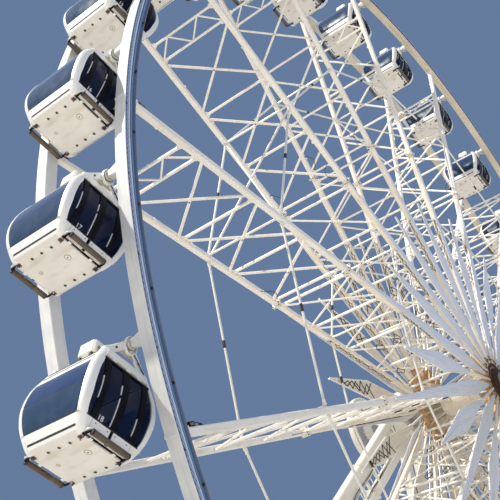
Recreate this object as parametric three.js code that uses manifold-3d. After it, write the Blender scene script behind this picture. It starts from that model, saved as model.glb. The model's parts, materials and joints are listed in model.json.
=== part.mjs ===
// Transportable observation wheel: thirty closed cabins between two rims, fifteen lattice spokes,
// a hub on a fixed axle, two A-frames of lattice legs and a base with a boarding deck.
// Millimetres. X runs across the wheel, Y along the axle, Z up, with the ground at Z = 0.
import * as THREE from 'three';
import { mergeVertices } from 'three/addons/utils/BufferGeometryUtils.js';
import Module from 'manifold-3d';

const wasm = await Module();
wasm.setup();

// Wheel
const CABIN_COUNT = 30;
const SPOKE_COUNT = 15;
const PIVOT_RADIUS = 18000;
const HUB_HEIGHT = 21300;
const SPOKE_PHASE_DEG = 0.69;
const CABIN_PHASE_DEG = SPOKE_PHASE_DEG + 180 / CABIN_COUNT;
const SEAT_GAP = 0.3;
const RUNNING_GAP = 0.6;

// Rims
const RIM_OUTER_RADIUS = 18120;
const RIM_INNER_RADIUS = 17800;
const RIM_CENTRE_Y = 1235;
const RIM_WIDTH = 320;
const RIM_SIDES = 60;
const ARM_ROOT_HALF = 130;
const ARM_TIP_HALF = 75;

// Spokes
const CHORD_SIZE = 165;
const PANEL_WIDE_RADIUS = 2450;
const PANEL_OUTER_RADIUS = 8700;
const PANEL_ROOT_HALF = 60;
const PANEL_WIDE_HALF = 270;
const PANEL_TIP_HALF = 45;
const PANEL_THICKNESS = 50;
const BRACE_SIZE = 70;
const BRACE_INSET = 170;
const SPOKE_INNER_RADIUS = 1000;
const FLANGE_RADIUS = 9350;
const GIRDER_OUTER_RADIUS = 16100;
const GIRDER_INNER_RADIUS = 15560;
const OUTER_PANELS = 3;
const INNER_PANELS = 4;

// Hub and axle
const HUB_DRUM_RADIUS = 520;
const HUB_HALF_LENGTH = 1500;
const HUB_FLANGE_THICKNESS = 140;
const AXLE_RADIUS = 200;
const AXLE_BORE_RADIUS = 212;
const AXLE_COLLAR_RADIUS = 330;
const AXLE_COLLAR_LENGTH = 160;
const AXLE_SIDES = 12;

// Star of slim panels beside the hub
const STAR_INNER_RADIUS = 2300;
const STAR_WIDE_RADIUS = 4500;
const STAR_OUTER_RADIUS = 6950;
const STAR_HALF_WIDTH = 330;
const STAR_THICKNESS = 70;
const STAR_Y = RIM_CENTRE_Y + HUB_FLANGE_THICKNESS / 2 + SEAT_GAP;
const STAR_ARM_HALF = 40;
const STAR_RING_OUTER = 960;
const STAR_RING_CLEARANCE = 20;

// Cabins
const CABIN_LEVELS = [
  [520, 710, -410],
  [730, 790, -800],
  [830, 850, -1300],
  [750, 760, -1800],
  [600, 660, -2120],
  [470, 580, -2270],
];
const HANGER_DEPTH = 110;
const HANGER_EYE = 130;
const HANGER_FOOT_X = 500;
const HANGER_INNER_Y = 660;
const HANGER_OUTER_Y = 720;
const COOLER_SIZE = [480, 420, 390];
const COOLER_PLACE = [-260, -60];
const JOIN_DEPTH = 20;
const BUMPER_ROOT = 540;
const BUMPER_REACH = 900;
const BUMPER_HALF_WIDTH = 410;
const BUMPER_SIZE = 80;
const BUMPER_TOP_Z = -2180;

// Supports
const LEG_ANGLE_DEG = 28;
const LEG_SPLAY_DEG = 7.5;
const LEG_Y = 2450;
const LEG_CHORD_SIZE = 300;
const LEG_DEPTH = 1300;
const LEG_BRACE_SIZE = 100;
const LEG_PLATE_THICKNESS = 60;
const LEG_PANELS = 8;
const LEG_TOP_BAY = 1300;
const HEAD_TOP_HALF_WIDTH = 650;
const HEAD_FOOT_HALF_WIDTH = 1150;
const HEAD_HALF_HEIGHT = 700;
const HEAD_THICKNESS = 620;
const END_DISC_RADIUS = 1300;
const END_DISC_Y = 4120;
const END_DISC_THICKNESS = 180;
const END_DISC_DISH = 120;
const END_DISC_EDGE = 60;
const END_DISC_RIM = 200;

// Base
const BEAM_HEIGHT = 500;
const BEAM_WIDTH = 600;
const BEAM_OVERHANG = 900;
const FOOT_HEIGHT = 200;
const FOOT_SIZE = 900;
const DECK_HALF_LENGTH = 4200;
const DECK_HALF_WIDTH = 2400;
const DECK_THICKNESS = 80;
const DECK_TOP = 780;
const CROSS_BEAM_HEIGHT = 300;
const CROSS_BEAM_WIDTH = 300;

const WHITE = new THREE.Color(0.86, 0.85, 0.8);
const CREAM = new THREE.Color(0.8, 0.75, 0.64);
const PALE_BLUE = new THREE.Color(0.6, 0.65, 0.74);
const GREY = new THREE.Color(0.45, 0.45, 0.44);

function paint(color, roughness = 0.45, metalness = 0.1) {
  return new THREE.MeshStandardMaterial({ color, roughness, metalness });
}

// A closed geometry as a solid that can be joined and cut.
function solid(geometry) {
  const bare = geometry.clone();
  bare.deleteAttribute('normal');
  bare.deleteAttribute('uv');
  const merged = mergeVertices(bare, 1e-3);
  const vertProperties = new Float32Array(merged.attributes.position.array);
  const triVerts = new Uint32Array(merged.index.array);
  return new wasm.Manifold(new wasm.Mesh({ numProp: 3, vertProperties, triVerts }));
}

// A joined or cut solid as a geometry.
function geometryOf(manifold) {
  const mesh = manifold.getMesh();
  const geometry = new THREE.BufferGeometry();
  geometry.setAttribute('position', new THREE.BufferAttribute(new Float32Array(mesh.vertProperties), 3));
  geometry.setIndex(new THREE.BufferAttribute(new Uint32Array(mesh.triVerts), 1));
  geometry.computeVertexNormals();
  return geometry;
}

function joined(geometries) {
  return geometries.map(solid).reduce((whole, piece) => whole.add(piece));
}

function vector(x, y, z) {
  return new THREE.Vector3(x, y, z);
}

function box(sizeX, sizeY, sizeZ, centre) {
  const geometry = new THREE.BoxGeometry(sizeX, sizeY, sizeZ);
  geometry.translate(centre.x, centre.y, centre.z);
  return geometry;
}

// A straight bar between two points, its first side kept as near as can be to the given direction.
function bar(from, to, sideSize, otherSize = sideSize, side = vector(0, 0, 1)) {
  const along = to.clone().sub(from);
  const length = along.length();
  along.normalize();
  const across = side.clone().addScaledVector(along, -side.dot(along)).normalize();
  const other = across.clone().cross(along);
  const geometry = new THREE.BoxGeometry(length, otherSize, sideSize);
  geometry.applyMatrix4(new THREE.Matrix4().makeBasis(along, other, across));
  const middle = from.clone().add(to).multiplyScalar(0.5);
  geometry.translate(middle.x, middle.y, middle.z);
  return geometry;
}

// A round piece about the Y axis, from a profile of [radius, y] points, with a corner at the given angle.
function turned(profile, sides, cornerDegrees = 90) {
  const points = profile.map(([radius, y]) => new THREE.Vector2(radius, y));
  const geometry = new THREE.LatheGeometry(points, sides);
  geometry.rotateY(THREE.MathUtils.degToRad(90 - cornerDegrees));
  return geometry;
}

// An outline of [x, z] points, with or without a hole, extruded along Y between two places.
function slab(outline, fromY, toY, hole = null) {
  const flat = (points) => points.map(([x, z]) => new THREE.Vector2(x, z));
  const shape = new THREE.Shape(flat(outline));
  if (hole) shape.holes.push(new THREE.Path(flat(hole)));
  const geometry = new THREE.ExtrudeGeometry(shape, { depth: toY - fromY, bevelEnabled: false });
  geometry.rotateX(Math.PI / 2);
  geometry.translate(0, toY, 0);
  return geometry;
}

// A closed body through level rectangles from the top down, each as [half width, half length, height].
function barrel(levels) {
  const points = levels.flatMap(([x, y, z]) => [x, -y, z, x, y, z, -x, y, z, -x, -y, z]);
  const last = 4 * (levels.length - 1);
  const faces = [0, 1, 2, 0, 2, 3, last, last + 2, last + 1, last, last + 3, last + 2];
  for (let level = 0; level < last; level += 4) {
    for (let corner = 0; corner < 4; corner += 1) {
      const here = level + corner;
      const next = level + (corner + 1) % 4;
      faces.push(here, next + 4, next, here, here + 4, next + 4);
    }
  }
  const geometry = new THREE.BufferGeometry();
  geometry.setAttribute('position', new THREE.BufferAttribute(new Float32Array(points), 3));
  geometry.setIndex(faces);
  return geometry;
}

function named(name, geometry, material) {
  const mesh = new THREE.Mesh(geometry, material);
  mesh.name = name;
  return mesh;
}

function twoDigits(number) {
  return String(number).padStart(2, '0');
}

// Turns an object about the axle by an angle counted from +X towards +Z.
function turnAboutAxle(object, degrees) {
  object.rotation.y = -THREE.MathUtils.degToRad(degrees);
  return object;
}

function wheelPoint(degrees, radius, y) {
  const angle = THREE.MathUtils.degToRad(degrees);
  return vector(radius * Math.cos(angle), y, radius * Math.sin(angle));
}

// Rim: a box section rolled to a ring, with a tapered arm to each cabin's pivot.
function rimGeometry(side) {
  const low = side * RIM_CENTRE_Y - RIM_WIDTH / 2;
  const high = low + RIM_WIDTH;
  const ring = turned([
    [RIM_INNER_RADIUS, low],
    [RIM_OUTER_RADIUS, low],
    [RIM_OUTER_RADIUS, high],
    [RIM_INNER_RADIUS, high],
    [RIM_INNER_RADIUS, low],
  ], RIM_SIDES, SPOKE_PHASE_DEG + 180 / RIM_SIDES);
  const rootY = RIM_CENTRE_Y - RIM_WIDTH / 2 + JOIN_DEPTH;
  const tipY = HANGER_OUTER_Y + RUNNING_GAP;
  const arms = [];
  for (let index = 0; index < CABIN_COUNT; index += 1) {
    const arm = new THREE.CylinderGeometry(ARM_ROOT_HALF, ARM_TIP_HALF, rootY - tipY, 4);
    arm.translate(0, (rootY + tipY) / 2, 0);
    if (side < 0) arm.rotateX(Math.PI);
    const place = wheelPoint(CABIN_PHASE_DEG + index * 360 / CABIN_COUNT, PIVOT_RADIUS, 0);
    arm.translate(place.x, place.y, place.z);
    arms.push(arm);
  }
  return geometryOf(joined([ring, ...arms]));
}

// Spoke, lying along +X: two chords with a slim panel on the outer face of each, a girder near the rim,
// crossed bays and plain struts.
function spokeGeometry() {
  const outerEnd = RIM_INNER_RADIUS * Math.cos(Math.PI / RIM_SIDES) - SEAT_GAP;
  const panelY = RIM_CENTRE_Y + CHORD_SIZE / 2 - JOIN_DEPTH / 2;
  const panel = [
    [SPOKE_INNER_RADIUS, -PANEL_ROOT_HALF],
    [PANEL_WIDE_RADIUS, -PANEL_WIDE_HALF],
    [PANEL_OUTER_RADIUS, -PANEL_TIP_HALF],
    [PANEL_OUTER_RADIUS, PANEL_TIP_HALF],
    [PANEL_WIDE_RADIUS, PANEL_WIDE_HALF],
    [SPOKE_INNER_RADIUS, PANEL_ROOT_HALF],
  ];
  const pieces = [];
  const at = (radius, side) => vector(radius, side * RIM_CENTRE_Y, 0);
  for (const side of [-1, 1]) {
    pieces.push(bar(at(SPOKE_INNER_RADIUS, side), at(outerEnd, side), CHORD_SIZE));
    const low = side > 0 ? panelY : -panelY - PANEL_THICKNESS;
    pieces.push(slab(panel, low, low + PANEL_THICKNESS));
  }
  const stations = [];
  const outerStep = (GIRDER_INNER_RADIUS - FLANGE_RADIUS) / OUTER_PANELS;
  const innerStep = (FLANGE_RADIUS - SPOKE_INNER_RADIUS) / (INNER_PANELS + 0.5);
  for (let index = 0; index <= OUTER_PANELS; index += 1) {
    stations.push(GIRDER_INNER_RADIUS - index * outerStep);
  }
  for (let index = 1; index <= INNER_PANELS; index += 1) {
    stations.push(FLANGE_RADIUS - index * innerStep);
  }
  const strut = (radiusA, sideA, radiusB, sideB) => {
    pieces.push(bar(at(radiusA, sideA), at(radiusB, sideB), BRACE_SIZE));
  };
  strut(GIRDER_OUTER_RADIUS, -1, GIRDER_OUTER_RADIUS, 1);
  stations.forEach((radius, index) => {
    strut(radius, -1, radius, 1);
    if (index >= OUTER_PANELS) return;
    const next = stations[index + 1];
    strut(radius - BRACE_INSET, -1, next + BRACE_INSET, 1);
    strut(radius - BRACE_INSET, 1, next + BRACE_INSET, -1);
  });
  return geometryOf(joined(pieces));
}

// Hub: a drum on the axle with a spoke flange at each end.
function hubGeometry() {
  const flangeLow = RIM_CENTRE_Y - HUB_FLANGE_THICKNESS / 2;
  const flangeHigh = RIM_CENTRE_Y + HUB_FLANGE_THICKNESS / 2;
  const flangeRadius = (SPOKE_INNER_RADIUS - SEAT_GAP) / Math.cos(Math.PI / SPOKE_COUNT);
  return turned([
    [AXLE_BORE_RADIUS, -HUB_HALF_LENGTH],
    [HUB_DRUM_RADIUS, -HUB_HALF_LENGTH],
    [HUB_DRUM_RADIUS, -flangeHigh],
    [flangeRadius, -flangeHigh],
    [flangeRadius, -flangeLow],
    [HUB_DRUM_RADIUS, -flangeLow],
    [HUB_DRUM_RADIUS, flangeLow],
    [flangeRadius, flangeLow],
    [flangeRadius, flangeHigh],
    [HUB_DRUM_RADIUS, flangeHigh],
    [HUB_DRUM_RADIUS, HUB_HALF_LENGTH],
    [AXLE_BORE_RADIUS, HUB_HALF_LENGTH],
    [AXLE_BORE_RADIUS, -HUB_HALF_LENGTH],
  ], SPOKE_COUNT, SPOKE_PHASE_DEG + 180 / SPOKE_COUNT);
}

// Star: a ring on the hub flange that carries one slim panel between each pair of spokes.
function starGeometry(side) {
  const low = side > 0 ? STAR_Y : -STAR_Y - STAR_THICKNESS;
  const half = 180 / SPOKE_COUNT;
  const outline = [];
  const hole = [];
  const polar = (radius, degrees, offset = 0) => {
    const angle = THREE.MathUtils.degToRad(degrees);
    const x = radius * Math.cos(angle) - offset * Math.sin(angle);
    const z = radius * Math.sin(angle) + offset * Math.cos(angle);
    return [x, z];
  };
  for (let index = 0; index < SPOKE_COUNT; index += 1) {
    const spokeAngle = SPOKE_PHASE_DEG + 2 * half * index;
    const angle = spokeAngle + half;
    hole.push(polar(HUB_DRUM_RADIUS + STAR_RING_CLEARANCE, angle));
    outline.push(polar(STAR_RING_OUTER, spokeAngle));
    outline.push(polar(STAR_RING_OUTER, angle, -STAR_ARM_HALF));
    outline.push(polar(STAR_INNER_RADIUS, angle, -STAR_ARM_HALF));
    outline.push(polar(STAR_WIDE_RADIUS, angle, -STAR_HALF_WIDTH));
    outline.push(polar(STAR_OUTER_RADIUS, angle));
    outline.push(polar(STAR_WIDE_RADIUS, angle, STAR_HALF_WIDTH));
    outline.push(polar(STAR_INNER_RADIUS, angle, STAR_ARM_HALF));
    outline.push(polar(STAR_RING_OUTER, angle, STAR_ARM_HALF));
  }
  return slab(outline, low, low + STAR_THICKNESS, hole);
}

// Cabin about its own pivot: a body that bulges on all four sides, hangers at both ends, a cooler on the
// roof and a bumper hoop below each door.
function cabinGeometry() {
  const roof = CABIN_LEVELS[0][2];
  const [coolerX, coolerY, coolerZ] = COOLER_SIZE;
  const coolerMiddle = vector(COOLER_PLACE[0], COOLER_PLACE[1], roof + coolerZ / 2 - JOIN_DEPTH);
  const pieces = [barrel(CABIN_LEVELS), box(coolerX, coolerY, coolerZ, coolerMiddle)];
  const hanger = [
    [-HANGER_FOOT_X, roof - JOIN_DEPTH],
    [-HANGER_FOOT_X + HANGER_DEPTH, roof - JOIN_DEPTH],
    [0, -HANGER_EYE],
    [HANGER_FOOT_X - HANGER_DEPTH, roof - JOIN_DEPTH],
    [HANGER_FOOT_X, roof - JOIN_DEPTH],
    [HANGER_EYE, 0],
    [HANGER_EYE / 2, HANGER_EYE],
    [-HANGER_EYE / 2, HANGER_EYE],
    [-HANGER_EYE, 0],
  ];
  const outer = BUMPER_HALF_WIDTH + BUMPER_SIZE;
  const bumper = new THREE.Shape([
    new THREE.Vector2(-outer, BUMPER_ROOT),
    new THREE.Vector2(-BUMPER_HALF_WIDTH, BUMPER_ROOT),
    new THREE.Vector2(-BUMPER_HALF_WIDTH, BUMPER_REACH - BUMPER_SIZE),
    new THREE.Vector2(BUMPER_HALF_WIDTH, BUMPER_REACH - BUMPER_SIZE),
    new THREE.Vector2(BUMPER_HALF_WIDTH, BUMPER_ROOT),
    new THREE.Vector2(outer, BUMPER_ROOT),
    new THREE.Vector2(outer, BUMPER_REACH),
    new THREE.Vector2(-outer, BUMPER_REACH),
  ]);
  for (const turn of [0, Math.PI]) {
    const bar = new THREE.ExtrudeGeometry(bumper, { depth: BUMPER_SIZE, bevelEnabled: false });
    bar.translate(0, 0, BUMPER_TOP_Z - BUMPER_SIZE);
    const end = [slab(hanger, HANGER_INNER_Y, HANGER_OUTER_Y), bar];
    for (const piece of end) {
      piece.rotateZ(turn);
      pieces.push(piece);
    }
  }
  return geometryOf(joined(pieces));
}

const LEG_RUN = Math.tan(THREE.MathUtils.degToRad(LEG_ANGLE_DEG));
const LEG_SPREAD = Math.tan(THREE.MathUtils.degToRad(LEG_SPLAY_DEG));
const BEAM_TOP = FOOT_HEIGHT + BEAM_HEIGHT;
const LEG_HEIGHT = HUB_HEIGHT - BEAM_TOP;
const FOOT_X = LEG_HEIGHT * LEG_RUN;
const BEAM_Y = LEG_Y + LEG_HEIGHT * LEG_SPREAD;

// Leg: a flat ladder of two box chords with rungs, plated in every other bay and braced in the ones
// between, leaning along the wheel and away from it, and cut level on the base and below the head.
function legGeometry(side, away) {
  const direction = vector(side * LEG_RUN, away * LEG_SPREAD, -1);
  const slope = direction.length();
  direction.normalize();
  const across = vector(1, 0, side * LEG_RUN).normalize();
  const facing = direction.clone().cross(across);
  const length = LEG_HEIGHT * slope;
  const point = (distance, offset) => vector(0, away * LEG_Y, HUB_HEIGHT)
    .addScaledVector(direction, distance)
    .addScaledVector(across, offset);
  const half = LEG_DEPTH / 2 - LEG_CHORD_SIZE / 2;
  const pieces = [];
  for (const offset of [-half, half]) {
    const foot = point(length + LEG_DEPTH, offset);
    pieces.push(bar(point(0, offset), foot, LEG_CHORD_SIZE, LEG_CHORD_SIZE, across));
  }
  const step = (length - LEG_TOP_BAY) / LEG_PANELS;
  for (let index = 0; index < LEG_PANELS; index += 1) {
    const near = LEG_TOP_BAY + index * step;
    const far = near + step;
    pieces.push(bar(point(near, -half), point(near, half), LEG_BRACE_SIZE, LEG_BRACE_SIZE, facing));
    if (index % 2 === 0) {
      pieces.push(bar(point(near, -half), point(far, half), LEG_BRACE_SIZE, LEG_BRACE_SIZE, facing));
    } else {
      pieces.push(bar(point(near, 0), point(far, 0), LEG_PLATE_THICKNESS, 2 * half, facing));
    }
  }
  const reach = 4 * FOOT_X;
  const below = solid(box(reach, reach, HUB_HEIGHT, vector(0, 0, BEAM_TOP + SEAT_GAP - HUB_HEIGHT / 2)));
  const headLow = HUB_HEIGHT - HEAD_HALF_HEIGHT - SEAT_GAP;
  const above = solid(box(reach, reach, HUB_HEIGHT, vector(0, 0, headLow + HUB_HEIGHT / 2)));
  const middle = -side * (reach - SEAT_GAP) / 2;
  const otherSide = solid(box(reach, reach, 3 * HUB_HEIGHT, vector(middle, 0, 0)));
  return geometryOf(joined(pieces).subtract(below).subtract(above).subtract(otherSide));
}

// Head: the tapered block on top of a pair of legs that holds the axle.
function headGeometry() {
  const block = slab([
    [-HEAD_FOOT_HALF_WIDTH, HUB_HEIGHT - HEAD_HALF_HEIGHT],
    [HEAD_FOOT_HALF_WIDTH, HUB_HEIGHT - HEAD_HALF_HEIGHT],
    [HEAD_TOP_HALF_WIDTH, HUB_HEIGHT + HEAD_HALF_HEIGHT],
    [-HEAD_TOP_HALF_WIDTH, HUB_HEIGHT + HEAD_HALF_HEIGHT],
  ], -HEAD_THICKNESS / 2, HEAD_THICKNESS / 2);
  const boreRadius = AXLE_RADIUS + SEAT_GAP;
  const bore = new THREE.CylinderGeometry(boreRadius, boreRadius, 2 * HEAD_THICKNESS, AXLE_SIDES);
  bore.translate(0, 0, HUB_HEIGHT);
  return geometryOf(solid(block).subtract(solid(bore)));
}

// Axle: a shaft with a collar beside each end of the hub and a dished disc on each outer end.
function axleGeometry() {
  const collarIn = HUB_HALF_LENGTH + RUNNING_GAP;
  const collarOut = collarIn + AXLE_COLLAR_LENGTH;
  const discIn = END_DISC_Y - END_DISC_THICKNESS;
  const discRim = END_DISC_Y;
  const half = [
    [AXLE_RADIUS, collarIn],
    [AXLE_COLLAR_RADIUS, collarIn],
    [AXLE_COLLAR_RADIUS, collarOut],
    [AXLE_RADIUS, collarOut],
    [AXLE_RADIUS, discIn],
    [END_DISC_RADIUS - END_DISC_EDGE, discIn],
    [END_DISC_RADIUS, discIn + END_DISC_EDGE],
    [END_DISC_RADIUS, discRim],
    [END_DISC_RADIUS - END_DISC_EDGE, discRim],
    [END_DISC_RADIUS - END_DISC_RIM, discRim - END_DISC_DISH],
    [0, discRim - END_DISC_DISH],
  ];
  const mirrored = half.map(([radius, y]) => [radius, -y]).reverse();
  return turned([...mirrored, ...half], AXLE_SIDES);
}

// Base beam under one pair of legs, on three broad feet.
function baseBeamGeometry() {
  const halfLength = FOOT_X + LEG_DEPTH + BEAM_OVERHANG;
  const pieces = [box(2 * halfLength, BEAM_WIDTH, BEAM_HEIGHT, vector(0, 0, FOOT_HEIGHT + BEAM_HEIGHT / 2))];
  const footHeight = FOOT_HEIGHT + JOIN_DEPTH;
  for (const x of [-halfLength + FOOT_SIZE / 2, 0, halfLength - FOOT_SIZE / 2]) {
    pieces.push(box(FOOT_SIZE, FOOT_SIZE, footHeight, vector(x, 0, footHeight / 2)));
  }
  return geometryOf(joined(pieces));
}

// Boarding deck on cross beams between the two base beams.
function deckGeometry() {
  const reach = BEAM_Y - BEAM_WIDTH / 2 - SEAT_GAP;
  const deckLow = DECK_TOP - DECK_THICKNESS;
  const beamZ = deckLow - CROSS_BEAM_HEIGHT / 2 + JOIN_DEPTH;
  const pieces = [box(2 * DECK_HALF_LENGTH, 2 * DECK_HALF_WIDTH, DECK_THICKNESS,
    vector(0, 0, deckLow + DECK_THICKNESS / 2))];
  for (const x of [-DECK_HALF_LENGTH + CROSS_BEAM_WIDTH, 0, DECK_HALF_LENGTH - CROSS_BEAM_WIDTH]) {
    pieces.push(box(CROSS_BEAM_WIDTH, 2 * reach, CROSS_BEAM_HEIGHT, vector(x, 0, beamZ)));
  }
  return geometryOf(joined(pieces));
}

const observationWheel = new THREE.Group();

const wheel = new THREE.Group();
wheel.position.set(0, 0, HUB_HEIGHT);
observationWheel.add(wheel);

wheel.add(named('hub', hubGeometry(), paint(CREAM)));
for (const [side, place] of [[-1, 'near'], [1, 'far']]) {
  wheel.add(named(`${place}_rim`, rimGeometry(side), paint(WHITE)));
  wheel.add(named(`${place}_star`, starGeometry(side), paint(PALE_BLUE)));
}

const spoke = spokeGeometry();
for (let index = 0; index < SPOKE_COUNT; index += 1) {
  const mesh = named(`spoke_${twoDigits(index + 1)}`, spoke, paint(CREAM));
  wheel.add(turnAboutAxle(mesh, SPOKE_PHASE_DEG + index * 360 / SPOKE_COUNT));
}

const cabin = cabinGeometry();
for (let index = 0; index < CABIN_COUNT; index += 1) {
  const mesh = named(`cabin_${twoDigits(index + 1)}`, cabin, paint(WHITE));
  mesh.position.copy(wheelPoint(CABIN_PHASE_DEG + index * 360 / CABIN_COUNT, PIVOT_RADIUS, 0));
  wheel.add(mesh);
}

const axle = named('axle', axleGeometry(), paint(GREY));
axle.position.set(0, 0, HUB_HEIGHT);
observationWheel.add(axle);

for (const [side, place] of [[-1, 'near'], [1, 'far']]) {
  const head = named(`${place}_head`, headGeometry(), paint(WHITE));
  head.position.y = side * LEG_Y;
  const beam = named(`${place}_base_beam`, baseBeamGeometry(), paint(WHITE));
  beam.position.y = side * BEAM_Y;
  observationWheel.add(head, beam);
  observationWheel.add(named(`${place}_left_leg`, legGeometry(-1, side), paint(WHITE)));
  observationWheel.add(named(`${place}_right_leg`, legGeometry(1, side), paint(WHITE)));
}
observationWheel.add(named('boarding_deck', deckGeometry(), paint(GREY)));

export default observationWheel;
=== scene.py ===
"""Looks of the ferris wheel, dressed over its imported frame.

Lengths are metres. Angles about the axle are degrees counted from +X towards +Z. A cabin's own sizes
are measured from its pivot, and a spoke's from the hub's centre with the spoke along +X. Where a place is
given a sign, -1 is the near side or the -Y end, and 1 the far side or the +Y end.
"""

import json
import logging
from dataclasses import dataclass, field
from enum import Enum
from math import atan2, cos, degrees, hypot, pi, radians, sin, tan
from typing import Callable, Sequence

import bpy
import numpy as np
from bpy.types import Material, Mesh, Node, NodeSocket, NodeTree, Object
from mathutils import Matrix, Vector


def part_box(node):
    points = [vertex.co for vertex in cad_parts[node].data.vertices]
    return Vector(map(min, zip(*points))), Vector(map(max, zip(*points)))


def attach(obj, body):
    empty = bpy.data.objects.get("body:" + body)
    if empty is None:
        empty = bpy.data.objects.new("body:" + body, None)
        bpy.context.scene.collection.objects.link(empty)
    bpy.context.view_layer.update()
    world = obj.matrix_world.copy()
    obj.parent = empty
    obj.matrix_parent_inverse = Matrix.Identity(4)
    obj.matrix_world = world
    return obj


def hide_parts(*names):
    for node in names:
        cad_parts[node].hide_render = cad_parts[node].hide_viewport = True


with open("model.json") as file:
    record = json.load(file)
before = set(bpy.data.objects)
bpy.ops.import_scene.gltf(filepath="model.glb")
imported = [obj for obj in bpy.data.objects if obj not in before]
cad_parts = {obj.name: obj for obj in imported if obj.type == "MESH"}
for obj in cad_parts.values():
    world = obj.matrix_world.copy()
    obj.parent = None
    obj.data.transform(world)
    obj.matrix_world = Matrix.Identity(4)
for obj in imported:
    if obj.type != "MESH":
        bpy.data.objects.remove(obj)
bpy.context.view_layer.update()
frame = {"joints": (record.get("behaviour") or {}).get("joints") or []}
log = logging.getLogger("ferris_wheel")

Point = Sequence[float]
Points = Sequence[Point]
Outline = list[tuple[float, float]]
Colour = tuple[float, float, float]
Place = tuple[float, float, float]
Edge = Callable[[float], float]

PLACES = {joint["name"]: joint["pos_m"] for joint in frame["joints"]}
HUB_HEIGHT = PLACES["wheel_turn"][2]
AXLE_CENTRE = (0.0, 0.0, HUB_HEIGHT)
CABIN_COUNT = sum(name.endswith("_swing") for name in PLACES)
SPOKE_COUNT = CABIN_COUNT // 2
FIRST_PIVOT = PLACES["cabin_01_swing"]
PIVOT_RADIUS = hypot(FIRST_PIVOT[0], FIRST_PIVOT[2] - HUB_HEIGHT)
CABIN_STEP = 360 / CABIN_COUNT
SPOKE_STEP = 360 / SPOKE_COUNT
FIRST_CABIN_ANGLE = degrees(atan2(FIRST_PIVOT[2] - HUB_HEIGHT, FIRST_PIVOT[0]))
FIRST_SPOKE_ANGLE = FIRST_CABIN_ANGLE - CABIN_STEP / 2
FIRST_WEDGE_ANGLE = FIRST_SPOKE_ANGLE + SPOKE_STEP / 2
CHORD_Y = 1.235
CHORD_SIZE = 0.165
SHARP_ANGLE = radians(33)
X, Y, Z = (1, 0, 0), (0, 1, 0), (0, 0, 1)


class Slot(Enum):
    """The record's material slots."""

    CABIN = "cabin_white"
    FRAME = "frame_white"
    PANEL = "panel_blue_grey"
    STEEL = "steel_grey"
    BASE = "base_grey"


class Tree:
    """Adds nodes to a node tree and feeds their inputs."""

    def __init__(self, tree: NodeTree) -> None:
        """Starts on a tree."""
        self.nodes = tree.nodes
        self.links = tree.links

    def feed(self, socket: NodeSocket, value: object) -> None:
        """Gives an input a value or a link.

        Args:
            socket: The input.
            value: A number, a colour or another node's output.
        """
        if isinstance(value, NodeSocket):
            self.links.new(value, socket)
        elif isinstance(value, tuple) and socket.type == "RGBA":
            socket.default_value = (*value, 1.0)
        else:
            socket.default_value = value

    def node(self, kind: str, inputs: dict | None = None, **settings: object) -> Node:
        """Adds a node.

        Args:
            kind: The node's type.
            inputs: What its inputs get, by their names or numbers.
            **settings: Values for the node's own properties.

        Returns:
            The node.
        """
        added = self.nodes.new(kind)
        for name, value in settings.items():
            setattr(added, name, value)
        for key, value in (inputs or {}).items():
            self.feed(added.inputs[key], value)
        return added

    def blend(self, factor: object, first: object, second: object) -> NodeSocket:
        """Mixes two colours by the second one's share."""
        return self.node("ShaderNodeMix", {0: factor, 6: first, 7: second}, data_type="RGBA").outputs[2]

    def spread(self, value: NodeSocket, span: Point, result: Point) -> NodeSocket:
        """Maps a value from the span that it is read in to the range that it becomes."""
        limits = dict(zip(("From Min", "From Max", "To Min", "To Max"), (*span, *result)))
        return self.node("ShaderNodeMapRange", {"Value": value, **limits}).outputs["Result"]

    def sum(self, operation: str, *values: object) -> NodeSocket:
        """Does a Math node's operation on numbers or outputs."""
        return self.node("ShaderNodeMath", dict(enumerate(values)), operation=operation).outputs[0]


class Graph(Tree):
    """Lays out the nodes of one material."""

    def __init__(self, name: str) -> None:
        """Starts a material.

        Args:
            name: Its name.
        """
        self.material = bpy.data.materials.new(name)
        self.material.use_nodes = True
        super().__init__(self.material.node_tree)

    def place(self, flows: bool) -> NodeSocket:
        """The coordinates that patterns follow.

        Args:
            flows: Whether they are the shape's own ones, and not the object's.

        Returns:
            Their output.
        """
        if flows:
            return self.node("ShaderNodeAttribute", attribute_name="flow").outputs["Vector"]
        return self.node("ShaderNodeTexCoord").outputs["Object"]

    def split(self, vector: NodeSocket) -> bpy.types.NodeOutputs:
        """The X, Y and Z outputs of a vector."""
        return self.node("ShaderNodeSeparateXYZ", {0: vector}).outputs

    def noise(self, vector: NodeSocket, scale: float, detail: float = 3.0,
            stretch: Colour | None = None) -> NodeSocket:
        """Adds a noise.

        Args:
            vector: The coordinates.
            scale: Its features to the metre.
            detail: Its octaves.
            stretch: A factor along each axis.

        Returns:
            Its value, from 0 to 1.
        """
        if stretch:
            vector = self.node("ShaderNodeMapping", {"Vector": vector, "Scale": stretch}).outputs["Vector"]
        return self.node("ShaderNodeTexNoise", {"Vector": vector, "Scale": scale,
            "Detail": detail}).outputs["Fac"]

    def wave(self, value: NodeSocket, pitch: float) -> NodeSocket:
        """A sine of the value with the given pitch."""
        return self.sum("SINE", self.sum("MULTIPLY", value, 2 * pi / pitch), 0.0)

    def dress(self, colour: object, rough: object, height: NodeSocket, bump: tuple[float, float],
            **fixed: float) -> Material:
        """Feeds the shader.

        Args:
            colour: Its colour.
            rough: Its roughness.
            height: The height pattern of its bump.
            bump: The bump's strength and depth.
            **fixed: Numbers for its other inputs.

        Returns:
            The material.
        """
        rise = self.node("ShaderNodeBump", {"Strength": bump[0], "Distance": bump[1], "Height": height})
        given = {"Base Color": colour, "Roughness": rough, "Normal": rise.outputs["Normal"]}
        given.update((name.replace("_", " "), value) for name, value in fixed.items())
        for name, value in given.items():
            self.feed(self.nodes["Principled BSDF"].inputs[name], value)
        return self.material


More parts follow.
